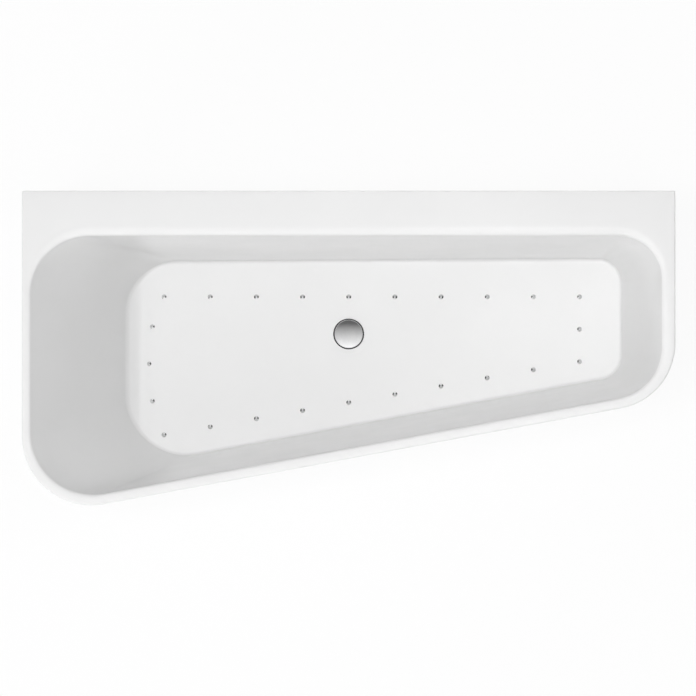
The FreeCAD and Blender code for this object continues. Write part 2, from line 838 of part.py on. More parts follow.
def square_tube(name, length, spot, angle=0):
    """Square hollow bar along X, turned about Z, with its underside at the given height."""
    body = doc.addObject("PartDesign::Body", name)
    sketch = new_sketch(body, name + "_section", "YZ_Plane")
    for wall in ("0", "tube_wall"):
        side = f"(tube_size / 2 - {wall})"
        high = f"(tube_size - {wall})"
        polygon(sketch, [(f"-{side}", wall), (side, wall), (side, high), (f"-{side}", high)])
    pad(body, sketch, length)
    return place(body, spot, UP, angle)


def feet():
    """Name and centre formulas of each levelling foot."""
    for end in ("wide", "narrow"):
        yield f"{end}_back", f"cross_{end}_x", "cross_back - foot_inset"
        yield f"{end}_front", f"cross_{end}_x", f"cross_front_{end} + foot_inset"


def base_frame():
    """Floor board, two rails under it, two cross members under those, and caps in the tube ends."""
    board = [(x, f"board_front + row_slope * {x}") for x in ("board_left", "board_right")]
    board += [("board_right", "board_back"), ("board_left", "board_back")]
    drain = (("drain_x", "drain_y"), "board_drain_hole / 2")
    node(plate("board", board, "board_under", "board_thickness", [drain]), "floor_board")
    turn = value("row_turn")
    node(square_tube("back_tube", "2 * rail_end", ("-rail_end", "back_rail_y", "rail_under")), "back_rail")
    front_start = ("-rail_end", "front_rail_y - row_slope * rail_end", "rail_under")
    node(square_tube("front_tube", "2 * rail_end / cos(row_turn)", front_start, turn), "front_rail")
    hole = "spindle_diameter / 2 + tube_hole_fit"
    for end in ("wide", "narrow"):
        start = (f"cross_{end}_x", f"cross_front_{end}", "cross_under")
        tube = square_tube(f"{end}_tube", f"cross_back - cross_front_{end}", start, 90)
        drills = []
        for name, x, y in feet():
            if name.startswith(end):
                drills.append(rod(f"{name}_drill", hole, "tube_size", (x, y, "cross_under")))
        node(cut(f"{end}_cross", tube, *drills), f"cross_member_{end}")
    flange = block("cap_flange", ("0", "-tube_size / 2", "0"), ("end_cap_flange", "tube_size", "tube_size"))
    core = "(tube_size - 2 * (tube_wall + end_cap_fit))"
    stub = block("cap_stub", ("-end_cap_plug", f"-{core} / 2", "tube_wall + end_cap_fit"),
                 ("end_cap_plug", core, core))
    reach = value("rail_end")
    low, rail_low = value("cross_under"), value("rail_under")
    back_y, front_y, slope = value("back_rail_y"), value("front_rail_y"), value("row_slope")
    spots = [(reach, back_y, rail_low, 0), (-reach, back_y, rail_low, 180),
             (reach, front_y + slope * reach, rail_low, turn),
             (-reach, front_y - slope * reach, rail_low, 180 + turn)]
    for end in ("wide", "narrow"):
        x = value(f"cross_{end}_x")
        spots += [(x, value("cross_back"), low, 90), (x, value(f"cross_front_{end}"), low, -90)]
    copies("tube_end_caps", fuse("end_cap", flange, stub), spots)


def levelling_feet():
    """Threaded spindles with moulded pads, and a nut on each side of the cross member."""
    screw = "spindle_diameter / 2"
    seat = f"({screw} + thread_fit)"
    top = "rail_under + spindle_above"
    nut_spots = []
    for name, x, y in feet():
        spot = (x, y, "0")
        bar = [("0", "spindle_seat"), (screw, "spindle_seat"), (screw, top), ("0", top)]
        node(lathe(f"{name}_spindle", bar, spot), f"foot_spindle_{name}")
        pad_profile = [("0", "0"), ("pad_diameter / 2", "0"), ("pad_diameter / 2", "pad_rim"),
                       ("pad_neck / 2", "pad_height"), (seat, "pad_height"), (seat, "spindle_seat"),
                       ("0", "spindle_seat")]
        node(lathe(f"{name}_pad", pad_profile, spot), f"foot_pad_{name}")
        for height in ("cross_under - foot_nut_height", "rail_under"):
            nut_spots.append((value(x), value(y), value(height), 0))
    copies("foot_nuts", nut("foot_nut", "foot_nut_flats", seat, "foot_nut_height"), nut_spots)


def brackets():
    """Angles between the frame and the apron, and hooks that hold the back lip to the wall."""
    angle = doc.addObject("PartDesign::Body", "angle")
    section = new_sketch(angle, "angle_section", "XZ_Plane")
    polygon(section, [("-bracket_reach", "0"), ("0", "0"), ("0", "bracket_height"),
                      ("-bracket_sheet", "bracket_height"), ("-bracket_sheet", "bracket_sheet"),
                      ("-bracket_reach", "bracket_sheet")])
    pad(angle, section, "bracket_width", midplane=True)
    side = value("half_length - apron_inner")
    back_y = value("back_rail_y")
    under_rail = value("rail_under - bracket_sheet")
    spots = [(-side, back_y, under_rail, 180), (side, back_y, under_rail, 0),
             (side, value("front_rail_y") + value("row_slope") * side, under_rail, 0),
             (-side, value("tray_bracket_y"), value("board_under - bracket_sheet"), 180)]
    taper = value("front_taper")
    for end in ("wide", "narrow"):
        x = value(f"cross_{end}_x")
        y = value("apron_inner_front") + math.tan(math.radians(taper)) * x
        spots.append((x, y, value("rail_under"), taper - 90))
    copies("apron_brackets", angle, spots)
    hook = doc.addObject("PartDesign::Body", "hook")
    profile = new_sketch(hook, "hook_section", "YZ_Plane")
    tongue = "(half_width - shell_wall - hook_gap)"
    shelf = "(lip_under - hook_gap)"
    foot = f"{shelf} - hook_drop"
    tip = "lip_under + hook_rise"
    polygon(profile, [("half_width", foot), ("half_width", shelf), (tongue, shelf), (tongue, tip),
                      (f"{tongue} - hook_sheet", tip), (f"{tongue} - hook_sheet", f"{shelf} - hook_sheet"),
                      ("half_width - hook_sheet", f"{shelf} - hook_sheet"),
                      ("half_width - hook_sheet", foot)])
    pad(hook, profile, "hook_width", midplane=True)
    drills = []
    for name, step in (("low", "-"), ("high", "+")):
        height = f"{shelf} - (hook_drop + hook_sheet) / 2 {step} hook_hole_spacing / 2"
        start = ("0", "half_width - 2 * hook_sheet", height)
        drills.append(rod(f"hook_drill_{name}", "hook_hole / 2", "3 * hook_sheet", start, "y"))
    half = value("hook_spacing / 2")
    copies("wall_brackets", cut("drilled_hook", hook, *drills), [(-half, 0, 0, 0), (half, 0, 0, 0)])


def drain():
    """Plug on its guided stem, flange, gaskets, waste body, trap and outlet pipe."""
    spot = ("drain_x", "drain_y", "0")
    flange = "drain_flange_diameter / 2"
    bevel = "drain_flange_height - drain_flange_bevel"
    disc = lathe("flange_disc", [
        ("tail_bore", "tail_end"), ("tail_radius", "tail_end"), ("tail_radius", "drain_seat"),
        (flange, "drain_seat"), (flange, f"drain_seat + {bevel}"),
        (f"{flange} - drain_flange_bevel", "drain_top"), ("tail_bore", "drain_top")], spot)
    guide = ("drain_x", "drain_y", "guide_under")
    boss = rod("guide_boss", "guide_diameter / 2", "guide_height", guide)
    reach = "tail_bore + drain_tail_wall / 2"
    long_arm = block("guide_arm_x", (f"drain_x - ({reach})", "drain_y - guide_arm / 2", "guide_under"),
                     (f"2 * ({reach})", "guide_arm", "guide_height"))
    cross_arm = block("guide_arm_y", ("drain_x - guide_arm / 2", f"drain_y - ({reach})", "guide_under"),
                      ("guide_arm", f"2 * ({reach})", "guide_height"))
    bore = rod("guide_bore", "stem_diameter / 2 + stem_fit", "guide_height", guide)
    guided = fuse("flange_and_guide", disc, boss, long_arm, cross_arm)
    node(cut("guided_flange", guided, bore), "drain_flange")
    hole = "drain_hole / 2"
    edge = "gasket_diameter / 2"
    node(ring("gasket_above", hole, edge, "floor_top", "drain_seat", spot), "drain_upper_gasket")
    node(ring("gasket_below", hole, edge, "waste_top", "floor_under", spot), "drain_lower_gasket")

    plug_radius = "plug_diameter / 2"
    puck = rod("plug_puck", plug_radius, "plug_edge + plug_crown", ("drain_x", "drain_y", "plug_under"))
    ball = doc.addObject("Part::Sphere", "plug_dome")
    ball.setExpression("Radius", bound("plug_ball"))
    place(ball, ("drain_x", "drain_y", "plug_under + plug_edge + plug_crown - plug_ball"))
    dome = doc.addObject("Part::Common", "domed_plug")
    dome.Base = puck
    dome.Tool = ball
    node(dome, "drain_cap")
    seal = "plug_seal_diameter / 2"
    node(ring("plug_seal", f"{seal} - plug_seal_width", seal, "plug_under - plug_seal_height", "plug_under",
              spot), "drain_cap_seal")
    collar_top = "guide_under - plug_lift - plug_stop_gap"
    collar_low = f"{collar_top} - stem_collar_height"
    node(lathe("plug_stem", [
        ("0", collar_low), ("stem_collar / 2", collar_low), ("stem_collar / 2", collar_top),
        ("stem_diameter / 2", collar_top), ("stem_diameter / 2", "plug_under"), ("0", "plug_under")], spot),
        "drain_stem")

    sleeve = "waste_radius + waste_wall"
    lid = "trap_inner - waste_fit"
    dip = "dip_diameter / 2"
    dip_end = "waste_under - dip_length"
    node(lathe("waste", [
        ("waste_radius", "waste_top"), (edge, "waste_top"), (edge, "waste_top - waste_flange"),
        (sleeve, "waste_top - waste_flange"), (sleeve, "waste_shelf"), (lid, "waste_shelf"),
        (lid, "waste_under"), (dip, "waste_under"), (dip, dip_end), (f"{dip} - waste_wall", dip_end),
        (f"{dip} - waste_wall", "waste_shelf"), ("waste_radius", "waste_shelf")], spot), "waste_body")
    cup_wall = "trap_diameter / 2"
    cup = lathe("cup", [
        ("0", "trap_under"), (cup_wall, "trap_under"), (cup_wall, "trap_top"), ("trap_inner", "trap_top"),
        ("trap_inner", "trap_under + trap_wall"), ("0", "trap_under + trap_wall")], spot)
    pipe = "outlet_diameter / 2"
    start = ("drain_x", "drain_y + trap_inner - outlet_reach_in", "outlet_height")
    port = rod("cup_port", f"{pipe} + waste_fit", "trap_diameter / 2", start, "y")
    node(cut("ported_cup", cup, port), "trap_cup")
    clear = f"{cup_wall} + waste_fit"
    nut_wall = f"{clear} + trap_nut_wall"
    nut_low = "trap_top - trap_nut_skirt"
    nut_face = "trap_top + waste_fit"
    nut_top = f"{nut_face} + trap_nut_wall"
    neck = f"{sleeve} + waste_fit"
    node(lathe("cup_nut", [
        (neck, nut_face), (clear, nut_face), (clear, nut_low), (nut_wall, nut_low),
        (nut_wall, nut_top), (neck, nut_top)], spot), "trap_nut")
    length = "half_width - outlet_back_gap - drain_y - trap_inner + outlet_reach_in"
    bead_y = "half_width - outlet_back_gap - outlet_spigot - outlet_bead_width"
    bead_start = ("drain_x", bead_y, "outlet_height")
    bead = rod("outlet_stop", f"{pipe} + outlet_bead", "outlet_bead_width", bead_start, "y")
    outlet = fuse("outlet_outside", rod("outlet_bar", pipe, length, start, "y"), bead)
    flow = rod("outlet_bore", f"{pipe} - outlet_wall", length, start, "y")
    node(cut("outlet", outlet, flow), "outlet_pipe")


def air_jets():
    """Nozzles in the basin floor, each with a seal and a nut underneath."""
    stem = "jet_stem / 2"
    head = "jet_head / 2"
    nozzle = lathe("nozzle", [
        ("jet_bore / 2", "jet_stem_end"), (stem, "jet_stem_end"), (stem, "floor_top"), (head, "floor_top"),
        (head, "floor_top + jet_head_edge"), (f"{head} - jet_head_bevel", "floor_top + jet_head_height"),
        ("jet_bore / 2", "floor_top + jet_head_height")])
    fit = f"{stem} + jet_fit"
    seal = ring("jet_washer", fit, "jet_seal_diameter / 2", "floor_under - jet_seal", "floor_under")
    jet_nut = nut("jet_nut", "jet_nut_flats", fit, "jet_nut_height")
    spots = [(x, y, 0, 0) for x, y in jet_spots()]
    copies("jet_nozzles", nozzle, spots)
    copies("jet_seals", seal, spots)
    nut_height = value("floor_under - jet_seal - jet_nut_height")
    copies("jet_nuts", jet_nut, [(x, y, nut_height, 0) for x, y in jet_spots()])


def air_ring():
    """Pipe under the jets: a bent run on three sides, a straight one at the narrow end, a spigot."""
    height = value("ring_z")
    radius, wall = value("ring_diameter / 2"), value("ring_wall")
    bend = value("ring_bend")
    left, right = value("ring_left_x"), value("jet_right_x")
    back, slope, row_y = value("jet_back_y"), value("row_slope"), value("row_y")
    end = right + value("ring_end")
    corners = [V(x, y, height) for x, y in
               ((end, row_y + slope * end), (left, row_y + slope * left), (left, back), (end, back))]
    cross_length = back - (row_y + slope * right)
    spigot_start = V(value("feed_join_x"), back, height)
    spigot = value("feed_bore - feed_fit")
    solids = {}
    for part, inset in (("outer", 0), ("inner", wall)):
        run = round_bar(corners, bend, radius - inset)
        across = Part.makeCylinder(radius - inset, cross_length, V(right, back, height), V(0, -1, 0))
        inlet = Part.makeCylinder(spigot - inset, radius + value("spigot_length"), spigot_start, V(0, 1, 0))
        solids[part] = run.fuse([across, inlet])
    drills = [Part.makeCylinder(value("jet_stem / 2 + jet_fit"), 2 * radius, V(x, y, height))
              for x, y in jet_spots()]
    node(solid_of("ring_pipe", solids["outer"].cut([solids["inner"]] + drills)), "air_ring")
    plugs = []
    for last, before in ((corners[0], corners[1]), (corners[3], corners[2])):
        out = (last - before).normalize()
        face = Part.makeCylinder(radius, value("plug_cap_wall"), last, out)
        core = Part.makeCylinder(radius - wall - value("feed_fit"), value("plug_cap_depth"), last, out * -1)
        plugs.append(face.fuse(core))
    node(solid_of("ring_plugs", Part.makeCompound(plugs)), "ring_end_plugs")


def feed_pipe():
    """Pipe from the blower up behind the basin, through the check valve, and down to the ring."""
    x, y, join = value("outlet_x"), value("feed_y"), value("feed_join_x")
    low, top, ring_height = value("outlet_z"), value("feed_top"), value("ring_z")
    ring_side = value("jet_back_y + ring_diameter / 2 + feed_join_gap")
    runs = {
        "lower": [V(x, value("feed_start"), low), V(x, y, low), V(x, y, value("valve_seat_low"))],
        "upper": [V(x, y, value("valve_stop")), V(x, y, top), V(join, y, top), V(join, y, ring_height),
                  V(join, ring_side, ring_height)],
    }
    for name, points in runs.items():
        outer = round_bar(points, value("feed_bend"), value("feed_diameter / 2"))
        inner = round_bar(points, value("feed_bend"), value("feed_bore"))
        node(solid_of(f"feed_{name}", outer.cut(inner)), f"feed_pipe_{name}")
    pipe = "feed_diameter / 2 + feed_fit"
    start = ("outlet_x", "outlet_end - coupling_length / 2", "outlet_z")
    sleeve = rod("sleeve_bar", f"{pipe} + coupling_wall", "coupling_length", start, "y")
    node(cut("sleeve", sleeve, rod("sleeve_bore", pipe, "coupling_length", start, "y")), "blower_coupling")
    strap_low = f"({pipe} + hanger_wall / 2)"
    loop = rod("hanger_loop", f"{pipe} + hanger_wall", "hanger_width", ("0", "-hanger_width / 2", "0"), "y")
    strap = block("hanger_strap", ("-hanger_wall / 2", "-hanger_width / 2", strap_low),
                  ("hanger_wall", "hanger_width", f"rim_under - feed_top - {strap_low}"))
    bore = rod("hanger_bore", pipe, "hanger_width", ("0", "-hanger_width / 2", "0"), "y")
    middle_x = (x + join) / 2
    half = value("hanger_spacing / 2")
    copies("pipe_hangers", cut("hanger", fuse("hanger_blank", loop, strap), bore),
           [(middle_x - half, y, top, 90), (middle_x + half, y, top, 90)])


def check_valve():
    """Two-piece valve body on the riser, with a disc that lifts off its seat."""
    spot = ("outlet_x", "feed_y", "0")
    socket = "feed_diameter / 2 + feed_fit"
    wall = "valve_diameter / 2"
    chamber = "valve_chamber_diameter / 2"
    seat = "valve_seat_bore / 2"
    guide = "disc_stem / 2 + disc_stem_fit"
    node(lathe("valve_lower", [
        (socket, "valve_height"), (wall, "valve_height"), (wall, "valve_split"), (chamber, "valve_split"),
        (chamber, "valve_seat_top"), (seat, "valve_seat_top"), (seat, "valve_seat_low"),
        (socket, "valve_seat_low")], spot), "valve_body")
    neck = "valve_stop - valve_seat"
    head = lathe("valve_upper", [
        (guide, "valve_split"), (wall, "valve_split"), (wall, "valve_top"), (socket, "valve_top"),
        (socket, "valve_stop"), (seat, "valve_stop"), (seat, neck), (chamber, neck),
        (chamber, "valve_guide_top"), (guide, "valve_guide_top")], spot)
    ports = []
    count = int(value("valve_port_count"))
    circle_radius = "(valve_guide_diameter + valve_chamber_diameter) / 4"
    for number in range(count):
        angle = 360 * number / count
        start = (f"outlet_x + {circle_radius} * cos({angle})", f"feed_y + {circle_radius} * sin({angle})",
                 "valve_split")
        ports.append(rod(f"valve_port_{number}", "valve_port / 2", "valve_guide", start))
    node(cut("ported_cap", head, *ports), "valve_cap")
    rest = "valve_seat_top + disc_gap"
    tip = "valve_guide_top + disc_stem_reach"
    top = f"{rest} + disc_thickness"
    node(lathe("disc", [
        ("0", rest), ("disc_diameter / 2", rest), ("disc_diameter / 2", top),
        ("disc_stem / 2", top), ("disc_stem / 2", tip), ("0", tip)], spot), "valve_disc")


def corner_spots(spacing):
    """X and Y signs-and-halves of four fixings about a centre."""
    half = f"{spacing} / 2"
    return [(f"{x} {half}", f"{y} {half}") for x in "+-" for y in "+-"]


def blower():
    """Centrifugal blower on a tray: housing, cover, impeller, and the motor hanging underneath."""
    spot = ("blower_x", "blower_y", "0")
    fixing = "blower_screw / 2 + screw_fit"
    corners = [(f"blower_x {x}", f"blower_y {y}") for x, y in corner_spots("bush_spacing")]
    fixings = [(corner, fixing) for corner in corners]
    left, right = "blower_x - tray_length / 2", "blower_x + tray_length / 2"
    front = "front_rail_y + row_slope * blower_x - tube_size / 2 - tray_overlap"
    back = "back_rail_y + tube_size / 2"
    motor_hole = (("blower_x", "blower_y"), "tray_motor_hole / 2")
    lead_hole = (("blower_x", "lead_y"), "grommet_diameter / 2 + grommet_fit")
    node(plate("tray", [(left, front), (right, front), (right, back), (left, back)], "board_under",
               "tray_sheet", [motor_hole, lead_hole] + fixings), "blower_tray")
    bush = ring("bush", fixing, "bush_diameter / 2", "tray_top", "blower_under")
    screw = "blower_screw / 2"
    head = "blower_screw_head / 2"
    head_low = "board_under - blower_screw_head_height"
    bolt = lathe("bush_bolt", [("0", head_low), (head, head_low), (head, "board_under"),
                               (screw, "board_under"), (screw, "blower_inside"), ("0", "blower_inside")])
    spots = [(value(x), value(y), 0, 0) for x, y in corners]
    copies("blower_bushes", bush, spots)
    copies("blower_screws", bolt, spots)

    outside = "blower_diameter / 2"
    journal = "shaft_radius + shaft_fit"
    race = "bearing_diameter / 2 + bearing_fit"
    boss = f"{race} + bearing_boss"
    floor = lathe("housing_cup", [
        (journal, "blower_under"), (race, "blower_under"), (race, "bearing_high"), (boss, "bearing_high"),
        (boss, "blower_under"), (outside, "blower_under"), (outside, "blower_top"),
        ("blower_inner", "blower_top"), ("blower_inner", "blower_inside"),
        (journal, "blower_inside")], spot)
    spout_start = ("outlet_x", "blower_y", "outlet_z")
    spout_length = "outlet_end - blower_y"
    spout = rod("spout", "feed_diameter / 2", spout_length, spout_start, "y")
    swirl_start = ("blower_x", "blower_y", "blower_inside")
    swirl = rod("housing_space", "blower_inner", "blower_height - blower_floor", swirl_start)
    spout_bore = rod("spout_bore", "feed_bore", spout_length, spout_start, "y")
    drills = []
    for number, (x, y) in enumerate(corners):
        drills.append(rod(f"bush_drill_{number}", fixing, "blower_floor", (x, y, "blower_under")))
    circle_radius = "(blower_diameter / 2 - blower_wall / 2)"
    count = int(value("cover_screw_count"))
    cover_holes = []
    cover_spots = []
    for number in range(count):
        angle = 360 * (number + 0.5) / count
        x, y = f"blower_x + {circle_radius} * cos({angle})", f"blower_y + {circle_radius} * sin({angle})"
        cover_holes.append(((x, y), "cover_screw / 2 + screw_fit"))
        drills.append(rod(f"cover_drill_{number}", "cover_screw / 2 + screw_fit", "cover_screw_length",
                          (x, y, "blower_top - cover_screw_length + cover_sheet")))
        cover_spots.append((value(x), value(y), value("blower_top + cover_sheet"), 0))
    shell = cut("housing", fuse("cup_and_spout", floor, spout), swirl, spout_bore, *drills)
    node(shell, "blower_base")
    cover = ring("cover_disc", "inlet_diameter / 2", outside, "blower_top", "blower_top + cover_sheet", spot)
    cover_drills = []
    for number, (centre, radius) in enumerate(cover_holes):
        cover_drills.append(rod(f"cover_hole_{number}", radius, "cover_sheet", (*centre, "blower_top")))
    node(cut("cover", cover, *cover_drills), "blower_cover")
    copies("cover_screws", pan_screw("cover_pan", "cover_screw"), cover_spots)

    plate_top = "impeller_under + impeller_plate"
    wheel = doc.addObject("PartDesign::Body", "wheel")
    profile = new_sketch(wheel, "wheel_profile", "XZ_Plane")
    polygon(profile, [
        ("shaft_radius", "impeller_under"), ("impeller_diameter / 2", "impeller_under"),
        ("impeller_diameter / 2", plate_top), ("impeller_hub / 2", plate_top),
        ("impeller_hub / 2", "impeller_top"), ("shaft_radius", "impeller_top")])
    turned = wheel.newObject("PartDesign::Revolution", "wheel_turned")
    turned.Profile = profile
    turned.ReferenceAxis = (profile, ["V_Axis"])
    turned.Angle = 360
    vane = new_sketch(wheel, "vane_outline", "XY_Plane", "impeller_under + impeller_plate / 2")
    vane_end = "impeller_diameter / 2 - blade_edge"
    polygon(vane, [("blade_root / 2", "-blade_thickness / 2"), (vane_end, "-blade_thickness / 2"),
                   (vane_end, "blade_thickness / 2"), ("blade_root / 2", "blade_thickness / 2")])
    blade = pad(wheel, vane, "impeller_depth - impeller_plate / 2")
    fan = wheel.newObject("PartDesign::PolarPattern", "vanes")
    fan.Originals = [blade]
    fan.Axis = ([item for item in wheel.Origin.OriginFeatures if item.Role == "Z_Axis"][0], [""])
    fan.Angle = 360
    fan.setExpression("Occurrences", bound("blade_count"))
    wheel.Tip = fan
    node(place(wheel, spot), "impeller")
    node(ring("spindle", "0", "shaft_radius", "bearing_low", "impeller_top", spot), "blower_shaft")

    case = "motor_diameter / 2"
    case_inner = f"{case} - motor_wall"
    low_top = "bearing_low + bearing_width"
    can = lathe("can", [
        ("0", "motor_under"), (case, "motor_under"), (case, "blower_under"), (case_inner, "blower_under"),
        (case_inner, "bearing_low"), (boss, "bearing_low"), (boss, low_top), (race, low_top),
        (race, "bearing_low"), ("0", "bearing_low")], spot)
    exit_start = ("blower_x", "blower_y", "lead_z")
    lead_exit = rod("can_hole", "grommet_diameter / 2 + grommet_fit", case, exit_start, "y")
    lead_core = rod("can_space", case_inner, "2 * grommet_diameter",
                    ("blower_x", "blower_y", "lead_z - grommet_diameter"))
    node(cut("motor_can", can, cut("can_wall_hole", lead_exit, lead_core)), "motor_case")
    stack_top = "stator_low + stator_length"
    stack = ring("stack", "stator_bore / 2", "stator_diameter / 2", "stator_low", stack_top, spot)
    node(stack, "motor_stator")
    armature = "stator_bore / 2 - rotor_gap"
    node(ring("armature", "shaft_radius", armature, "stator_low", stack_top, spot), "motor_rotor")
    bearing = ring("bearing", journal, "bearing_diameter / 2", "0", "bearing_width")
    x, y = value("blower_x"), value("blower_y")
    copies("motor_bearings", bearing, [(x, y, value("bearing_low"), 0), (x, y, value("bearing_high"), 0)])


def pan_screw(name, kind):
    """Pan-head screw with the underside of its head at the origin; the kind leads its sizes."""
    head, screw = f"{kind}_head / 2", f"{kind} / 2"
    return lathe(name, [
        ("0", f"-{kind}_length"), (screw, f"-{kind}_length"), (screw, "0"), (head, "0"),
        (head, f"{kind}_head_height"), ("0", f"{kind}_head_height")])


def control_box():
    """Box with a lid and a circuit board beside the blower, the motor's lead and the glands."""
    outer = block("box_outer", ("box_x", "box_y", "tray_top"), ("box_length", "box_width", "box_height"))
    inner = block("box_inner", ("box_x + box_wall", "box_y + box_wall", "tray_top + box_wall"),
                  ("box_length - 2 * box_wall", "box_width - 2 * box_wall", "box_height"))
    posts, shelves, drills, lid_drills, screw_spots = [], [], [], [], []
    post_inset = "(box_wall + box_post / 2 - box_post_bite)"
    hole = "lid_screw / 2 + screw_fit"
    corners = [(f"box_x + {post_inset}", f"box_y + {post_inset}"),
               (f"box_x + box_length - {post_inset}", f"box_y + {post_inset}"),
               (f"box_x + box_length - {post_inset}", f"box_y + box_width - {post_inset}"),
               (f"box_x + {post_inset}", f"box_y + box_width - {post_inset}")]
    for number, (x, y) in enumerate(corners):
        stand = (x, y, "tray_top + box_wall")
        tip = (x, y, "box_top - lid_screw_length + lid_sheet")
        posts.append(rod(f"box_post_{number}", "box_post / 2", "box_height - box_wall", stand))
        shelves.append(rod(f"board_post_{number}", "box_post", "board_post_height", stand))
        drills.append(rod(f"box_drill_{number}", hole, "lid_screw_length", tip))
        lid_drills.append(rod(f"lid_drill_{number}", hole, "lid_sheet", (x, y, "box_top")))
        screw_spots.append((value(x), value(y), value("box_top + lid_sheet"), 0))
    grommet_hole = "grommet_diameter / 2 + grommet_fit"
    drills.append(rod("box_lead_hole", grommet_hole, "box_wall", ("blower_x", "lead_y", "tray_top")))
    gland = ("box_x + box_length / 2", "box_y + box_width - box_wall", "tray_top + mains_gland_rise")
    drills.append(rod("box_gland_hole", "grommet_diameter / 2", "2 * box_wall", gland, "y"))
    tub = fuse("box_and_posts", cut("box_walls", outer, inner), *posts, *shelves)
    limits = block("box_limits", ("box_x", "box_y", "tray_top"), ("box_length", "box_width", "box_height"))
    trimmed = doc.addObject("Part::Common", "box_trimmed")
    trimmed.Base = tub
    trimmed.Tool = limits
    node(cut("box", trimmed, *drills), "control_box")
    lid = block("lid_blank", ("box_x", "box_y", "box_top"), ("box_length", "box_width", "lid_sheet"))
    node(cut("lid", lid, *lid_drills), "control_lid")
    copies("lid_screws", pan_screw("lid_pan", "lid_screw"), screw_spots)
    inset = "(box_wall + circuit_margin)"
    sheet = block("circuit_blank", (f"box_x + {inset}", f"box_y + {inset}", "circuit_under"),
                  (f"box_length - 2 * {inset}", f"box_width - 2 * {inset}", "circuit_sheet"))
    notches = []
    for number, (x, y) in enumerate(corners):
        notch = (x, y, "circuit_under")
        notches.append(rod(f"circuit_notch_{number}", "box_post / 2 + screw_fit", "circuit_sheet", notch))
    node(cut("circuit", sheet, *notches), "control_board")

    start_y = "blower_y + motor_diameter / 2 - motor_wall"
    points = [V(value("blower_x"), value(start_y), value("lead_z")),
              V(value("blower_x"), value("lead_y"), value("lead_z")),
              V(value("blower_x"), value("lead_y"), value("tray_top + box_wall + lead_inset"))]
    lead_radius = value("lead_diameter / 2")
    node(solid_of("lead", round_bar(points, value("lead_bend"), lead_radius)), "motor_lead")
    grommet = "grommet_diameter / 2"
    bore = "lead_diameter / 2 + grommet_fit"
    side_start = ("blower_x", start_y, "lead_z")
    side = cut("motor_gland", rod("motor_gland_bar", grommet, "grommet_length", side_start, "y"),
               rod("motor_gland_bore", bore, "grommet_length", side_start, "y"))
    up_start = ("blower_x", "lead_y", "tray_top + box_wall - grommet_length")
    upright = cut("box_grommet", rod("box_grommet_bar", grommet, "grommet_length", up_start),
                  rod("box_grommet_bore", bore, "grommet_length", up_start))
    collar_start = (gland[0], "box_y + box_width", gland[2])
    reach = "box_wall + mains_gland_length"
    thread = rod("gland_thread", "grommet_diameter / 2 - grommet_fit", reach, gland, "y")
    collar = rod("gland_collar", "mains_gland_diameter / 2", "mains_gland_length", collar_start, "y")
    way = rod("gland_bore", "mains_gland_bore / 2", reach, gland, "y")
    mains = cut("mains_gland", fuse("gland_blank", thread, collar), way)
    doc.recompute()
    grommets = Part.makeCompound([item.Shape for item in (side, upright, mains)])
    node(solid_of("grommets", grommets), "lead_grommets")


fill_sheets()
tub_shell()
apron_panel()
base_frame()
levelling_feet()
brackets()
drain()
air_jets()
air_ring()
feed_pipe()
check_valve()
blower()
control_box()

doc.recompute()
os.makedirs("parts", exist_ok=True)
failed = [item.Name for item in doc.Objects if {"Invalid", "Error"} & set(item.State)]
failed += [item.Label for item in nodes if item.Shape.isNull() or not item.Shape.isValid()]
if failed:
    raise RuntimeError("these objects failed: " + ", ".join(failed))
for item in nodes:
    item.Shape.exportStep(f"parts/{item.Label}.step")
    box = item.Shape.BoundBox
    print(item.Label, len(item.Shape.Solids), round(item.Shape.Volume / 1000), "cm3", box)
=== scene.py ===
import math

import bmesh
import bpy
import numpy as np
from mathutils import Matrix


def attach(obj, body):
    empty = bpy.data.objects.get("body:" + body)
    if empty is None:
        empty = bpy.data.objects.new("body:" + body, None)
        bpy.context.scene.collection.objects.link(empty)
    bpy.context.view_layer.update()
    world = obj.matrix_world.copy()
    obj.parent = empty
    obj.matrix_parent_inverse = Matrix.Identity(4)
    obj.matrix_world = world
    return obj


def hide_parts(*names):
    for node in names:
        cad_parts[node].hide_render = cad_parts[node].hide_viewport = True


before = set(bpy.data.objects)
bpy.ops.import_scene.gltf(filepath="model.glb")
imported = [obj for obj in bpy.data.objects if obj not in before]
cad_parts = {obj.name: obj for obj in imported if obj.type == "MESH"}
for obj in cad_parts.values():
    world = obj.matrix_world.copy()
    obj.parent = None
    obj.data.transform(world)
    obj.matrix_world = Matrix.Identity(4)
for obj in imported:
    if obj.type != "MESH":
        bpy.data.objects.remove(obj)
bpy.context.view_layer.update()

# Lengths are in millimetres here and become metres when a mesh is made.
MM = 0.001
UP = np.array([0.0, 0.0, 1.0])
ORIGIN = np.zeros(3)

# Outline of the bath seen from above: straight back and ends, a slanted front.
HALF_LENGTH = 800.0
HALF_WIDTH = 385.0
NARROW_WIDTH = 507.8
CORNER_WIDE = 170.0
CORNER_NARROW = 162.0
CORNER_BACK = 5.0
FRONT_RUN = 2 * HALF_LENGTH - CORNER_WIDE
FRONT_STEP = 2 * HALF_WIDTH - NARROW_WIDTH - CORNER_WIDE
TAPER = math.asin(CORNER_WIDE / math.hypot(FRONT_RUN, FRONT_STEP)) + math.atan(FRONT_STEP / FRONT_RUN)
SLOPE = math.tan(TAPER)
FRONT_Y = (-HALF_WIDTH + CORNER_WIDE
           + ((HALF_LENGTH - CORNER_WIDE) * math.sin(TAPER) - CORNER_WIDE) / math.cos(TAPER))


def inside_front(gap, x=0.0):
    """Y of the line that runs a gap inside the slanted front."""
    return FRONT_Y + gap / math.cos(TAPER) + SLOPE * x


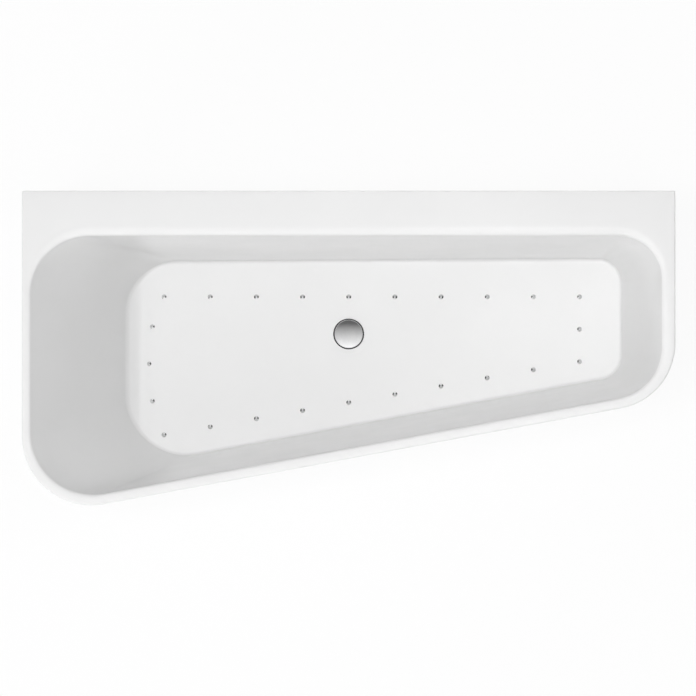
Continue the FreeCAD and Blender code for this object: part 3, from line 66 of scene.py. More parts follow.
# Heights of the rim, the basin's floor and the edge under the rim.
RIM_Z = 580.0
FLOOR_Z = 150.0
LIP_Z = 540.0
WALL = 6.0
DEPTH = RIM_Z - FLOOR_Z
DRAIN = np.array([0.0, 37.0])
DRAIN_HOLE = 27.0

# Sides come in the order wide end, front, narrow end, back; a front is its Y where X is 0.
# Corners come in the order back wide, front wide, front narrow, back narrow.
RIM_SIDES = np.array([-HALF_LENGTH, FRONT_Y, HALF_LENGTH, HALF_WIDTH])
RIM_RADII = np.array([CORNER_BACK, CORNER_WIDE, CORNER_NARROW, CORNER_BACK])
MOUTH_SIDES = np.array([-781.0, inside_front(24.5), 768.0, 276.0])
MOUTH_RADII = np.array([146.0, 155.0, 128.0, 108.0])
FLOOR_SIDES = np.array([-583.0, inside_front(64.5), 719.0, 227.0])
FLOOR_RADII = np.array([132.0, 155.0, 63.0, 58.0])
OUTWARD = np.array([-1.0, -1 / math.cos(TAPER), 1.0, 1.0])
WALL_RUN = (MOUTH_SIDES - FLOOR_SIDES) / OUTWARD
LEAN = np.arctan(WALL_RUN / DEPTH)

# Rounding of the rim's outer edge, of the roll into the basin and of the floor's edge, by side.
# The roll starts with a slow crown, which ends at a tilt, and goes on with a tighter bend.
EDGE_ROUND = np.array([3.5, 4.5, 4.5, 3.5])
CROWN_RUN = np.array([6.0, 10.0, 10.0, 18.0])
CROWN_TILT = np.radians([9.0, 9.0, 16.0, 18.0])
MOUTH_ROLL = np.array([10.0, 8.0, 9.0, 10.0])
FLOOR_ROUND = np.array([14.0, 9.0, 8.0, 10.0])
LEAST_RADIUS = 0.5

# The floor's ramp and the backrest's belly at the wide end, and the drift of the floor's back edge.
RAMP_START = -523.0
RAMP_LENGTH = 64.0
RAMP_RISE = 28.0
BELLY = 18.0
BACK_DRIFT = 8.0

# Rows of points across the bath's skin, on the seen side and on the hidden side. The lip's bead has the seen
# side's finish up to its height inside the lip.
LIP_ROWS, EDGE_ROWS, RIM_ROWS, ROLL_ROWS, WALL_ROWS, FOOT_ROWS, FLOOR_ROWS = 5, 9, 6, 10, 30, 14, 36
UNDER_ROLL_ROWS, UNDER_WALL_ROWS, UNDER_FOOT_ROWS, UNDER_FLOOR_ROWS = 6, 40, 10, 10
BEAD_ROWS, BEAD_HEIGHT = 6, 16.0


# Meshes

SAME_POINT = 2e-6
SHARP_EDGE = math.radians(38)


def skin(grid, around=True, along=False):
    """Points and quads of a grid of points: rows along, columns around, wrapped where asked."""
    rows, cols = grid.shape[:2]
    row = np.arange(rows if along else rows - 1)[:, None]
    col = np.arange(cols if around else cols - 1)[None, :]
    next_row = (row + 1) % rows
    next_col = (col + 1) % cols
    corners = (row * cols + col, row * cols + next_col, next_row * cols + next_col, next_row * cols + col)
    quads = np.stack(np.broadcast_arrays(*corners), axis=-1).reshape(-1, 4)
    return grid.reshape(-1, 3), quads


def piece(name, skins, slot, *nodes, body="bath", lining=None, lined=None):
    """One object from closed skins: doubles are merged, faces turned outwards, shading smoothed.

    It has its slot's finish and stands for CAD nodes. The quads that lined marks have the lining's finish.
    """
    points = np.concatenate([part[0] for part in skins]) * MM
    starts = np.cumsum([0] + [len(part[0]) for part in skins[:-1]])
    quads = np.concatenate([part[1] + start for part, start in zip(skins, starts)])
    mesh = bpy.data.meshes.new(name)
    mesh.vertices.add(len(points))
    mesh.vertices.foreach_set("co", points.ravel())
    mesh.loops.add(quads.size)
    mesh.loops.foreach_set("vertex_index", quads.ravel().astype(np.int32))
    mesh.polygons.add(len(quads))
    mesh.polygons.foreach_set("loop_start", np.arange(0, quads.size, 4, dtype=np.int32))
    mesh.update(calc_edges=True)
    mesh.materials.append(FINISH[slot])
    if lining:
        mesh.materials.append(FINISH[lining])
        mesh.polygons.foreach_set("material_index", lined.astype(np.int32))
    work = bmesh.new()
    work.from_mesh(mesh)
    bmesh.ops.remove_doubles(work, verts=work.verts, dist=SAME_POINT)
    bmesh.ops.recalc_face_normals(work, faces=work.faces)
    work.to_mesh(mesh)
    work.free()
    mesh.polygons.foreach_set("use_smooth", np.ones(len(mesh.polygons), dtype=bool))
    mesh.set_sharp_from_angle(angle=SHARP_EDGE)
    thing = bpy.data.objects.new(name, mesh)
    bpy.context.scene.collection.objects.link(thing)
    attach(thing, body)
    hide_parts(*nodes)


# Turned, swept and boxed shapes

MOST_CUT = 0.45
LEAST_SIDE = 1e-9


def eased(points, reach, steps=4, closed=False):
    """Corners of a line drawn in by a quadratic curve from a reach before to a reach after each.

    A reach is held under a share of the shorter side beside it. An open line keeps its two ends.
    """
    points = np.asarray(points, float)
    before = np.roll(points, 1, axis=0) - points
    after = np.roll(points, -1, axis=0) - points
    long_before = np.maximum(np.linalg.norm(before, axis=1, keepdims=True), LEAST_SIDE)
    long_after = np.maximum(np.linalg.norm(after, axis=1, keepdims=True), LEAST_SIDE)
    cut = np.broadcast_to(np.asarray(reach, float), (len(points),))[:, None]
    cut = np.minimum(cut, MOST_CUT * np.minimum(long_before, long_after))
    if not closed:
        cut[[0, -1]] = 0
    start = points + before / long_before * cut
    end = points + after / long_after * cut
    t = np.linspace(0, 1, steps + 1)[None, :, None]
    curve = (1 - t) ** 2 * start[:, None] + 2 * t * (1 - t) * points[:, None] + t ** 2 * end[:, None]
    return curve.reshape(-1, points.shape[1])


OUTER_WALL = 2.4


def turned(profile, spot, count=64, axis="z", flutes=None):
    """Surface of revolution: each radius and height of the profile carried round a vertical axis,
    or round a level axis along Y when the heights are distances along it.

    Flutes are a number, a depth and two heights. Between these the outermost wall's radius falls by the
    depth times |sin(number * angle / 2)| raised to the fourth power.
    """
    profile = np.asarray(profile, float)
    angle = np.linspace(0, 2 * np.pi, count, endpoint=False)[None, :]
    radius, height = profile[:, :1], profile[:, 1:]
    if flutes:
        number, depth, low, high = flutes
        within = (height > low) & (height < high) & (radius > radius.max() - OUTER_WALL)
        radius = radius - depth * within * np.abs(np.sin(number * angle / 2)) ** 4
    first, second = radius * np.cos(angle), radius * np.sin(angle)
    level = np.broadcast_to(height, first.shape)
    parts = (first, second, level) if axis == "z" else (first, level, -second)
    return skin(np.stack(parts, axis=-1) + np.asarray(spot, float))


def closed_turn(loop, spot, reach=0.6, count=64, axis="z", steps=3, flutes=None):
    """Surface of revolution of a closed section with eased corners: a ring, a sleeve or a pipe."""
    section = eased(loop, reach, steps, closed=True)
    return turned(np.concatenate([section, section[:1]]), spot, count, axis, flutes)


def repeated(part, places):
    """The same skin at several places."""
    return [(part[0] + np.asarray(place, float), part[1]) for place in places]


NUT_CHAMFER = 0.09


def hexagon_nut(spot, flats, bore, height, count=72):
    """Nut: in each direction the radius is the hexagon's, flats / 2 / cos(angle off the flat), held
    under a cone at the two faces; the bore is a plain cylinder."""
    angle = np.linspace(0, 2 * np.pi, count, endpoint=False)
    hexagon = flats / 2 / np.cos(np.mod(angle, np.pi / 3) - np.pi / 6)
    chamfer = NUT_CHAMFER * flats
    rise = np.array([0, 0, chamfer / 4, chamfer / 2])
    spread = np.array([-chamfer, -0.2, 0.6 * chamfer, 2 * chamfer])
    z = np.concatenate([rise, height - rise[::-1], [height, 0]])
    cone = flats / 2 + np.concatenate([spread, spread[::-1], [0, 0]])
    radius = np.minimum(hexagon[None, :], cone[:, None])
    radius[-2:] = bore
    level = np.broadcast_to(z[:, None], radius.shape)
    grid = np.stack([radius * np.cos(angle), radius * np.sin(angle), level], axis=-1)
    return skin(grid + np.asarray(spot, float), along=True)


HEAD_TOP = np.concatenate([[0.0], np.linspace(0.05, 0.9, 16), [0.96, 1.0]])
HEAD_UNDER = np.array([1.0, 0.5, 0.0])
DOME_FALL = 0.55
RECESS_DEPTH, RECESS_ARM, RECESS_REACH, RECESS_FADE = 0.45, 0.12, 0.58, 0.1


def pan_head(spot, radius, height, count=48, down=False):
    """Screw head: a dome that falls with the fourth power of the radius, over a flat underside. It is cut by
    a cross recess whose depth falls off across each arm as 1 - (distance / half width) ** 2."""
    share = np.concatenate([HEAD_TOP, HEAD_UNDER])[:, None]
    angle = np.linspace(0, 2 * np.pi, count, endpoint=False)[None, :]
    x, y = share * np.cos(angle), share * np.sin(angle)
    arm = np.minimum(np.abs(x), np.abs(y))
    cross = np.clip(1 - (arm / RECESS_ARM) ** 2, 0, 1) * np.clip((RECESS_REACH - share) / RECESS_FADE, 0, 1)
    dome = height * (1 - DOME_FALL * share ** 4) - RECESS_DEPTH * height * cross
    dome[len(HEAD_TOP):] = 0
    sign = -1 if down else 1
    grid = np.stack([x * radius, y * radius, sign * np.broadcast_to(dome, x.shape)], axis=-1)
    return skin(grid + np.asarray(spot, float))


def unit(rays):
    """Directions of length one."""
    return rays / np.linalg.norm(rays, axis=-1, keepdims=True)


def bent(points, bend, steps=14):
    """Path of straight runs joined by tangent arcs of one radius: on an arc the point is the centre plus
    the radius times the direction turned evenly from one run's side to the next's."""
    points = np.asarray(points, float)
    corner = points[1:-1]
    back, on = unit(points[:-2] - corner), unit(points[2:] - corner)
    half = np.arccos(np.clip((back * on).sum(axis=1, keepdims=True), -1, 1)) / 2
    centre = corner + unit(back + on) * bend / np.sin(half)
    start = corner + back * bend / np.tan(half) - centre
    end = corner + on * bend / np.tan(half) - centre
    sweep = (np.pi - 2 * half)[:, None]
    t = np.linspace(0, 1, steps)[None, :, None]
    arcs = np.sin((1 - t) * sweep) * start[:, None] + np.sin(t * sweep) * end[:, None]
    arcs = centre[:, None] + arcs / np.sin(sweep)
    return np.concatenate([points[:1], arcs.reshape(-1, 3), points[-1:]])


ASKEW = np.array([0.31, 0.52, 0.79])


def carried(path, section, aside=ASKEW, sizes=1.0):
    """Grid of a flat section carried square along a path: its first axis is the path's direction crossed
    with a vector aside, its second the direction crossed with the first. The section is drawn larger or
    smaller by the size at each point."""
    path = np.asarray(path, float)
    along = unit(np.gradient(path, axis=0))
    first = unit(np.cross(along, np.asarray(aside, float)))
    second = np.cross(along, first)
    section = np.asarray(section, float)[None] * np.broadcast_to(sizes, (len(path),))[:, None, None]
    return path[:, None] + section[..., :1] * first[:, None] + section[..., 1:] * second[:, None]


def capped(grid, tips):
    """Skin of a grid whose first and last rows close on two points."""
    ends = np.repeat(np.asarray(tips, float)[:, None], grid.shape[1], axis=1)
    return skin(np.concatenate([ends[:1], grid, ends[1:]]))


def swept(path, section, aside=ASKEW):
    """Bar of one section along a path. Its ends close on the section's middle."""
    return capped(carried(path, section, aside), [path[0], path[-1]])


def circle_section(radius, count=40):
    """Points of a circle."""
    angle = np.linspace(0, 2 * np.pi, count, endpoint=False)
    return radius * np.stack([np.cos(angle), np.sin(angle)], axis=-1)


def sleeve(path, outer, inner):
    """Hollow round tube along a path: the outer radii run along it, and the inner radii run back."""
    out, back = (carried(path, circle_section(1.0), sizes=radii) for radii in (outer, inner))
    return skin(np.concatenate([out, back[::-1]]), along=True)


def oblong(width, height, corner, steps=4):
    """Points of a rectangle about the origin with eased corners."""
    half = np.array([width, height]) / 2
    return eased(half * [[-1, -1], [1, -1], [1, 1], [-1, 1]], corner, steps, closed=True)


SOCKET = 15.0
SOCKET_GROW = 2.6
SOCKET_STEPS = np.array([[0.0], [0.8], [4.2], [5.0], [SOCKET - 2]])
SOCKET_BEAD = np.array([0.2, 1.0, 1.0, 0.0, 0.0])
SOCKET_BORE = 0.3


def elbows(points, bend, radius):
    """Moulded elbow on each bend of a pipe: a wider tube along the arc and a socket's length to either
    side, with a raised bead at each socket's mouth."""
    points = np.asarray(points, float)
    parts = []
    for corner in range(1, len(points) - 1):
        arc = bent(points[corner - 1:corner + 2], bend)[1:-1]
        into, out = unit(arc[0] - points[corner - 1]), unit(points[corner + 1] - arc[-1])
        path = np.concatenate([arc[0] - into * (SOCKET - SOCKET_STEPS), arc,
                               arc[-1] + out * (SOCKET - SOCKET_STEPS[::-1])])
        mouth = radius + SOCKET_GROW + SOCKET_BEAD
        reach = np.concatenate([mouth, np.full(len(arc), radius + SOCKET_GROW), mouth[::-1]])
        parts.append(sleeve(path, reach, radius - SOCKET_BORE))
    return parts


def upright(places, sections, along):
    """Grid of sections that stand at places on a level line, square to it."""
    places, sections = np.asarray(places, float), np.asarray(sections)
    return places[:, None] + sections[..., :1] * np.cross(UP, along) + sections[..., 1:] * UP


TUBE, TUBE_WALL, TUBE_CORNER, TUBE_BORE_CORNER = 30.0, 2.0, 3.0, 1.5


def square_tube(start, end):
    """Hollow square bar with rounded edges between two points: its outer outline runs along, turns in at
    the end and runs back as the inner outline."""
    bore = TUBE - 2 * TUBE_WALL
    outer, inner = oblong(TUBE, TUBE, TUBE_CORNER), oblong(bore, bore, TUBE_BORE_CORNER)
    places, sections = [start, end, end, start], [outer, outer, inner, inner]
    return skin(upright(places, sections, unit(end - start)), along=True)


def boxed(low, high, corner, profile, reach, steps=3, arc_steps=10):
    """Rounded rectangles stacked by a profile of insets and heights: a lid or an open box.

    Each outline has straight sides and quarter arcs of the corner radius less the inset; the first and
    last close on the middle line.
    """
    half, middle = (high - low) / 2, (high + low) / 2
    rows = eased(profile, reach, steps)
    pole = half.min()
    inset = np.minimum(rows[:, :1], pole)
    radius = np.minimum(np.clip(corner - inset, 0, None), pole - inset)
    quarter = np.pi / 2
    starts = np.arange(4) * quarter
    angle = np.concatenate([np.linspace(start, start + quarter, arc_steps) for start in starts])[None, :]
    sign_x = np.repeat([1, -1, -1, 1], arc_steps)[None, :]
    sign_y = np.repeat([1, 1, -1, -1], arc_steps)[None, :]
    x = middle[0] + sign_x * (half[0] - inset - radius) + radius * np.cos(angle)
    y = middle[1] + sign_y * (half[1] - inset - radius) + radius * np.sin(angle)
    return skin(np.stack([x, y, np.broadcast_to(rows[:, 1:], x.shape)], axis=-1))


def holed_plate(corners, centre, hole, low, high, ease, corner, count=256):
    """Flat plate with a round hole: its eased outline is joined to the hole by straight lines towards the
    hole's centre, above and below."""
    outline = eased(corners, corner, 6, closed=True)
    closed = np.concatenate([outline, outline[:1]])
    run = np.concatenate([[0], np.cumsum(np.linalg.norm(np.diff(closed, axis=0), axis=1))])
    at = np.unique(np.concatenate([run[:-1], np.linspace(0, run[-1], count, endpoint=False)]))
    edge = np.stack([np.interp(at, run, closed[:, 0]), np.interp(at, run, closed[:, 1])], axis=-1)
    ray = edge - np.asarray(centre, float)
    length = np.linalg.norm(ray, axis=1, keepdims=True)
    ray = ray / length
    stops = [(hole, low), (length - ease, low), (length, low + ease), (length, high - ease),
             (length - ease, high), (hole, high)]
    rows = [np.concatenate([np.asarray(centre) + ray * reach, np.full((len(ray), 1), z)], axis=1)
            for reach, z in stops]
    return skin(np.stack(rows), along=True)


# Outlines of the bath

ARC_STEPS = 44
LINE_STEPS = (36, 110, 30, 120)
ARC_SHARE = np.linspace(0, 1, ARC_STEPS)
ARC_ENDS = np.radians(np.array([[90.0, 180.0], [180.0, 270.0], [270.0, 360.0], [0.0, 90.0]]))
ARC_ENDS[1, 1] += TAPER
ARC_ENDS[2, 0] += TAPER
ARC_ANGLES = ARC_ENDS[:, :1] + (ARC_ENDS[:, 1:] - ARC_ENDS[:, :1]) * ARC_SHARE


def side_shares():
    """Share of each side in each column of an outline: one on a straight run, and across a corner
    a smooth step from one side to the next."""
    step = ARC_SHARE ** 2 * (3 - 2 * ARC_SHARE)
    rows = []
    for corner in range(4):
        arc = np.zeros((ARC_STEPS, 4))
        arc[:, (corner - 1) % 4] = 1 - step
        arc[:, corner] = step
        run = np.zeros((LINE_STEPS[corner], 4))
        run[:, corner] = 1
        rows += [arc, run]
    return np.concatenate(rows)


SHARES = side_shares()


def between(count):
    """Shares of the way from one end to the other, evenly spaced, without the two ends."""
    return np.arange(1, count + 1) / (count + 1)


def outlines(sides, radii):
    """Closed outlines, one a row: four corner arcs about their centres, joined by straight runs.

    An arc's centre lies one radius inside its two sides, and its points are the centre plus the
    radius times the direction of the angle.
    """
    wide, front, narrow, back = sides.T
    x = np.stack([wide + radii[:, 0], wide + radii[:, 1], narrow - radii[:, 2], narrow - radii[:, 3]], axis=1)
    slant = front[:, None] + SLOPE * x + radii / math.cos(TAPER)
    y = np.stack([back - radii[:, 0], slant[:, 1], slant[:, 2], back - radii[:, 3]], axis=1)
    centre = np.stack([x, y], axis=-1)[:, :, None, :]
    ray = np.stack([np.cos(ARC_ANGLES), np.sin(ARC_ANGLES)], axis=-1)[None]
    arcs = centre + radii[:, :, None, None] * ray
    parts = []
    for corner, steps in enumerate(LINE_STEPS):
        start, end = arcs[:, corner, -1:], arcs[:, (corner + 1) % 4, :1]
        parts += [arcs[:, corner], start + (end - start) * between(steps)[None, :, None]]
    return np.concatenate(parts, axis=1)


def shaped(sides, radii, height):
    """Grid of points of a set of outlines, each column's height mixed from the heights of the sides."""
    return np.concatenate([outlines(sides, radii), (height @ SHARES.T)[:, :, None]], axis=-1)


def at_corners(amount):
    """Amounts for the sides averaged to amounts for the corners between them."""
    return (amount + np.roll(amount, 1, axis=1)) / 2


def basin_rows(share, grow, height):
    """Outlines between the mouth and the floor, mixed by a share for each side, then grown outwards."""
    sides = MOUTH_SIDES + (FLOOR_SIDES - MOUTH_SIDES) * share + OUTWARD * grow
    radii = MOUTH_RADII + (FLOOR_RADII - MOUTH_RADII) * at_corners(share) + at_corners(grow)
    return shaped(sides, radii, height)


def rim_rows(inset, height):
    """Outlines of the rim, drawn in by an inset for each side."""
    radii = np.maximum(RIM_RADII - at_corners(inset), LEAST_RADIUS)
    return shaped(RIM_SIDES - OUTWARD * inset, radii, height)


def all_sides(numbers):
    """A row for each number, the same for all four sides."""
    return np.repeat(np.reshape(numbers, (-1, 1)), 4, axis=1)


def mixed(first, last, count):
    """Rows between two rows of points, evenly spaced, without the ends."""
    return first + (last - first) * between(count)[:, None, None]


def rolled_mouth(count, depth=0.0):
    """Rows of the roll from the flat rim into the wall, a depth under the seen side.

    In section the tilt grows evenly from level to the crown's tilt on one arc, and from there to the
    wall's lean on a tighter one. Points lie on the arcs, less the depth along the arcs' radii; the last
    one meets the wall's line.
    """
    step = np.linspace(0, 1, count)[:, None]
    crown = step * CROWN_TILT
    bend = CROWN_TILT + step[1:] * (np.pi / 2 - LEAN - CROWN_TILT)
    slow = CROWN_RUN / np.sin(CROWN_TILT)
    bend_in = CROWN_RUN + MOUTH_ROLL * (np.sin(bend) - np.sin(CROWN_TILT))
    bend_down = slow * (1 - np.cos(CROWN_TILT)) + MOUTH_ROLL * (np.cos(CROWN_TILT) - np.cos(bend))
    into = np.concatenate([slow * np.sin(crown), bend_in])
    down = np.concatenate([slow * (1 - np.cos(crown)), bend_down])
    tilt = np.concatenate([crown, bend])
    out = into[-1] - down[-1] * np.tan(LEAN) - into + depth * np.sin(tilt)
    return basin_rows(np.zeros_like(out), out, RIM_Z - down - depth * np.cos(tilt))


def rounded_floor(count, radius, grow, floor):
    """Rows of the rounding from the wall down to the level floor: an arc tangent to both, so that its
    centre lies a radius over the floor and radius / tan(45 degrees + lean / 2) inside the wall. The
    floor's back edge runs nearer the wall towards the narrow end."""
    turn = np.linspace(1, 0, count)[:, None] * (np.pi / 2 - LEAN)
    out = -radius / np.tan(np.pi / 4 + LEAN / 2) + radius * np.sin(turn)
    rows = basin_rows(np.ones_like(out), out + grow, floor + radius * (1 - np.cos(turn)))
    way = (rows[..., 0] - FLOOR_SIDES[0]) / (FLOOR_SIDES[2] - FLOOR_SIDES[0])
    rows[..., 1] += BACK_DRIFT * way * SHARES[:, 3]
    return rows


def ramp_height(x):
    """The floor's end under the backrest rises as the square of the way along the ramp."""
    return RAMP_RISE * np.clip((RAMP_START - x) / RAMP_LENGTH, 0, 1) ** 2


def ramped(grid):
    """The same grid, lifted by the ramp."""
    lifted = grid.copy()
    lifted[..., 2] += ramp_height(grid[..., 0])
    return lifted


def wall_between(top, foot, count):
    """Straight wall between two rows; at the wide end it swells into the basin by a parabola,
    4 * share * (1 - share), as a backrest does."""
    wall = mixed(top, foot, count)
    share = between(count)[:, None]
    wall[..., 0] += BELLY * 4 * share * (1 - share) * SHARES[:, 0]
    return wall


def to_drain(row, count):
    """Floor rows from an outline to the drain's hole, along straight lines to the drain's centre."""
    flat = row[..., :2]
    hole = DRAIN + unit(flat - DRAIN) * DRAIN_HOLE
    share = (np.arange(1, count + 1) / count)[:, None, None]
    spread = flat + (hole - flat) * share
    return np.concatenate([spread, np.full(spread.shape[:2] + (1,), FLOOR_Z)], axis=-1)


def tub_top():
    """The bath's seen side, from the edge under the rim over the rim and down to the drain's hole."""
    lip = rim_rows(all_sides(np.zeros(LIP_ROWS)), np.linspace(LIP_Z + 1, RIM_Z - EDGE_ROUND, LIP_ROWS))
    turn = np.linspace(0, np.pi / 2, EDGE_ROWS)[1:, None]
    edge = rim_rows(EDGE_ROUND * (1 - np.cos(turn)), RIM_Z - EDGE_ROUND * (1 - np.sin(turn)))
    roll = rolled_mouth(ROLL_ROWS)
    rim = mixed(edge[-1:], roll[:1], RIM_ROWS)
    flat_foot = rounded_floor(FOOT_ROWS, FLOOR_ROUND, 0, FLOOR_Z)
    foot = ramped(flat_foot)
    wall = wall_between(roll[-1:], foot[:1], WALL_ROWS)
    floor = ramped(to_drain(flat_foot[-1:], FLOOR_ROWS))
    return np.concatenate([lip, edge, rim, roll, wall, foot, floor])


UNDER_GROW = WALL / np.tan(np.pi / 4 + LEAN / 2)
HAND_LAID = 0.35
SLOW_WAVES = ((31, 1.6, 0.4), (47, -2.3, 1.9), (23, 3.1, 4.0))


def hand_laid(wall):
    """The same wall with the unevenness of glass mat rolled on by hand: three slow waves along and across
    it, added up, move each point square to the outline. They fade out at the top and bottom rows."""
    rows, cols = wall.shape[:2]
    row, col = np.mgrid[0:rows, 0:cols]
    wave = sum(np.sin(2 * np.pi * (along * col / cols + across * row / rows) + start)
               for along, across, start in SLOW_WAVES)
    run = np.roll(wall, -1, axis=1) - np.roll(wall, 1, axis=1)
    out = unit(np.stack([run[..., 1], -run[..., 0]], axis=-1))
    fade = np.sin(np.pi * (row + 1) / (rows + 1))
    uneven = wall.copy()
    uneven[..., :2] += (HAND_LAID * fade * wave)[..., None] * out
    return uneven


def tub_under(hole_row):
    """The bath's hidden side: from the drain's hole out under the floor, up round the basin a wall's
    thickness outside it, out under the rim and down inside the lip."""
    low, inner = FLOOR_Z - WALL, RIM_Z - WALL
    flat_foot = rounded_floor(UNDER_FOOT_ROWS, FLOOR_ROUND + WALL, UNDER_GROW, low)[::-1]
    foot = ramped(flat_foot)
    hole = hole_row.copy()
    hole[..., 2] = low
    floor = ramped(mixed(hole, flat_foot[:1], UNDER_FLOOR_ROWS))
    roll = rolled_mouth(UNDER_ROLL_ROWS, WALL)[::-1]
    wall = hand_laid(wall_between(foot[-1:], roll[:1], UNDER_WALL_ROWS))
    bend = [[WALL + 2, inner], [WALL + 0.6, inner - 0.6], [WALL, inner - 2]]
    bead = [[WALL, LIP_Z + BEAD_HEIGHT], [WALL, LIP_Z + 1.2], [WALL - 0.4, LIP_Z + 0.35], [WALL - 1.2, LIP_Z],
            [1.2, LIP_Z], [0.35, LIP_Z + 0.35]]
    inset, height = np.array(bend + bead).T
    lip = rim_rows(all_sides(inset), all_sides(height))
    rim = mixed(roll[-1:], lip[:1], RIM_ROWS)
    return np.concatenate([hole, floor, foot, wall, roll, rim, lip])


def bath_shell():
    """The basin and rim as one closed skin: the seen side and the hidden side share their two edges."""
    top = tub_top()
    grid = np.concatenate([top, tub_under(top[-1:])])
    rows = np.repeat(np.arange(len(grid)), grid.shape[1])
    hidden = (rows >= len(top)) & (rows < len(grid) - BEAD_ROWS)
    piece("bath_shell", [skin(grid, along=True)], "acrylic", "tub_shell", lining="fibreglass", lined=hidden)


APRON_OUT, APRON_IN, APRON_LOW, APRON_HIGH = 6.3, 10.3, 12.0, 573.5
APRON_ROWS, APRON_EASE = 12, 1.4


def apron():
    """The skirt: a thin eased section carried along the wide end, the front and the narrow end.

    Each section point is an inset from the rim's outline and a height; the end columns close on the
    middle of the wall.
    """
    levels = np.linspace(APRON_HIGH, APRON_LOW, APRON_ROWS)
    loop = [[APRON_OUT, z] for z in levels] + [[APRON_IN, z] for z in levels[::-1]]
    inset, height = eased(loop, APRON_EASE, closed=True).T
    middle = np.full_like(inset, (APRON_OUT + APRON_IN) / 2)
    first, last = ARC_STEPS - 1, 3 * ARC_STEPS + sum(LINE_STEPS[:3])
    wall = rim_rows(all_sides(inset), all_sides(height))[:, first:last + 1]
    ends = rim_rows(all_sides(middle), all_sides(height))[:, [first, last]]
    grid = np.concatenate([ends[:, :1], wall, ends[:, 1:]], axis=1)
    piece("apron_skirt", [skin(grid, around=False, along=True)], "acrylic", "apron_panel")


# Finishes

def wire(tree, kind, sockets=None, **settings):
    """Add a node, set its fields, and set or link its sockets."""
    node = tree.nodes.new(kind)
    for field, setting in settings.items():
        setattr(node, field, setting)
    for socket, given in (sockets or {}).items():
        if isinstance(given, bpy.types.NodeSocket):
            tree.links.new(given, node.inputs[socket])
        else:
            node.inputs[socket].default_value = given
    return node


NUMBER, COLOUR, ARROW = "NodeSocketFloat", "NodeSocketColor", "NodeSocketVector"


def effect(name, inputs, outputs):
    """An empty node group with named sockets, its two end nodes and the object's coordinates."""
    tree = bpy.data.node_groups.new(name, "ShaderNodeTree")
    for socket, (kind, start) in inputs.items():
        tree.interface.new_socket(socket, in_out="INPUT", socket_type=kind).default_value = start
    for socket, kind in outputs.items():
        tree.interface.new_socket(socket, in_out="OUTPUT", socket_type=kind)
    place = wire(tree, "ShaderNodeTexCoord").outputs["Object"]
    return tree, wire(tree, "NodeGroupInput").outputs, wire(tree, "NodeGroupOutput").inputs, place


def ranged(tree, amount, low, high, start=0.0, end=1.0):
    """An amount from low to high carried over to start to end, and held there."""
    return wire(tree, "ShaderNodeMapRange", {0: amount, 1: low, 2: high, 3: start, 4: end}).outputs[0]


def math_of(tree, operation, first, second):
    """Two numbers joined by one operation."""
    return wire(tree, "ShaderNodeMath", {0: first, 1: second}, operation=operation).outputs[0]


def stretched(tree, place, factors):
    """Coordinates multiplied by three factors."""
    return wire(tree, "ShaderNodeVectorMath", {0: place, 1: factors}, operation="MULTIPLY").outputs[0]


def blended(tree, share, first, second):
    """Two colours mixed by a share."""
    return wire(tree, "ShaderNodeMix", {0: share, 6: first, 7: second}, data_type="RGBA").outputs[2]


def cell_shade(tree, cells):
    """A number of its own for each cell."""
    return wire(tree, "ShaderNodeSeparateColor", {0: cells.outputs["Color"]}).outputs[0]


def rgba(shade):
    """A colour from its three parts, or a grey from one number."""
    return (*np.broadcast_to(np.asarray(shade, float), 3).tolist(), 1.0)


CLOUD_RANGE = (0.3, 0.7)


def mottle_effect():
    """Soft cloudy change between two colours, with the amount beside it."""
    tree, given, out, place = effect("mottle", {"Scale": (NUMBER, 5.0), "Dark": (COLOUR, rgba(0)),
                                                "Light": (COLOUR, rgba(1))},
                                     {"Colour": COLOUR, "Amount": NUMBER})
    cloud = wire(tree, "ShaderNodeTexNoise", {"Vector": place, "Scale": given["Scale"], "Detail": 5.0,
                                              "Roughness": 0.6})
    amount = ranged(tree, cloud.outputs[0], *CLOUD_RANGE)
    tree.links.new(amount, out["Amount"])
    tree.links.new(blended(tree, amount, given["Dark"], given["Light"]), out["Colour"])
    return tree


def grain_effect():
    """Fine moulded or drawn grain: noise stretched by three factors, as a height."""
    tree, given, out, place = effect("grain", {"Scale": (NUMBER, 400.0), "Stretch": (ARROW, (1, 1, 1))},
                                     {"Height": NUMBER})
    drawn = stretched(tree, place, given["Stretch"])
    noise = wire(tree, "ShaderNodeTexNoise", {"Vector": drawn, "Scale": given["Scale"], "Detail": 3.0})
    tree.links.new(noise.outputs[0], out["Height"])
    return tree


SPANGLE_BEND, SPANGLE_BEND_SCALE, SPANGLE_EDGE = 0.02, 60.0, 0.06


def spangle_effect():
    """Zinc spangle: each crystal has its own shade, and its edge is a fine line."""
    tree, given, out, place = effect("spangle", {"Scale": (NUMBER, 90.0)}, {"Shade": NUMBER, "Edge": NUMBER})
    bend = wire(tree, "ShaderNodeTexNoise", {"Vector": place, "Scale": SPANGLE_BEND_SCALE}).outputs[1]
    pushed = wire(tree, "ShaderNodeMix", {0: SPANGLE_BEND, 4: place, 5: bend}, data_type="VECTOR").outputs[1]
    sockets = {"Vector": pushed, "Scale": given["Scale"]}
    cells = wire(tree, "ShaderNodeTexVoronoi", sockets)
    edges = wire(tree, "ShaderNodeTexVoronoi", sockets, feature="DISTANCE_TO_EDGE")
    tree.links.new(cell_shade(tree, cells), out["Shade"])
    tree.links.new(ranged(tree, edges.outputs[0], 0.0, SPANGLE_EDGE), out["Edge"])
    return tree


FLECK_TURNS = ((0.2, 0.3, 0.4), (0.5, 1.2, 2.2), (1.3, 0.4, 1.2))
FLECK_SHADES, FLECK_EDGE = (-0.1, 0.9), 0.5


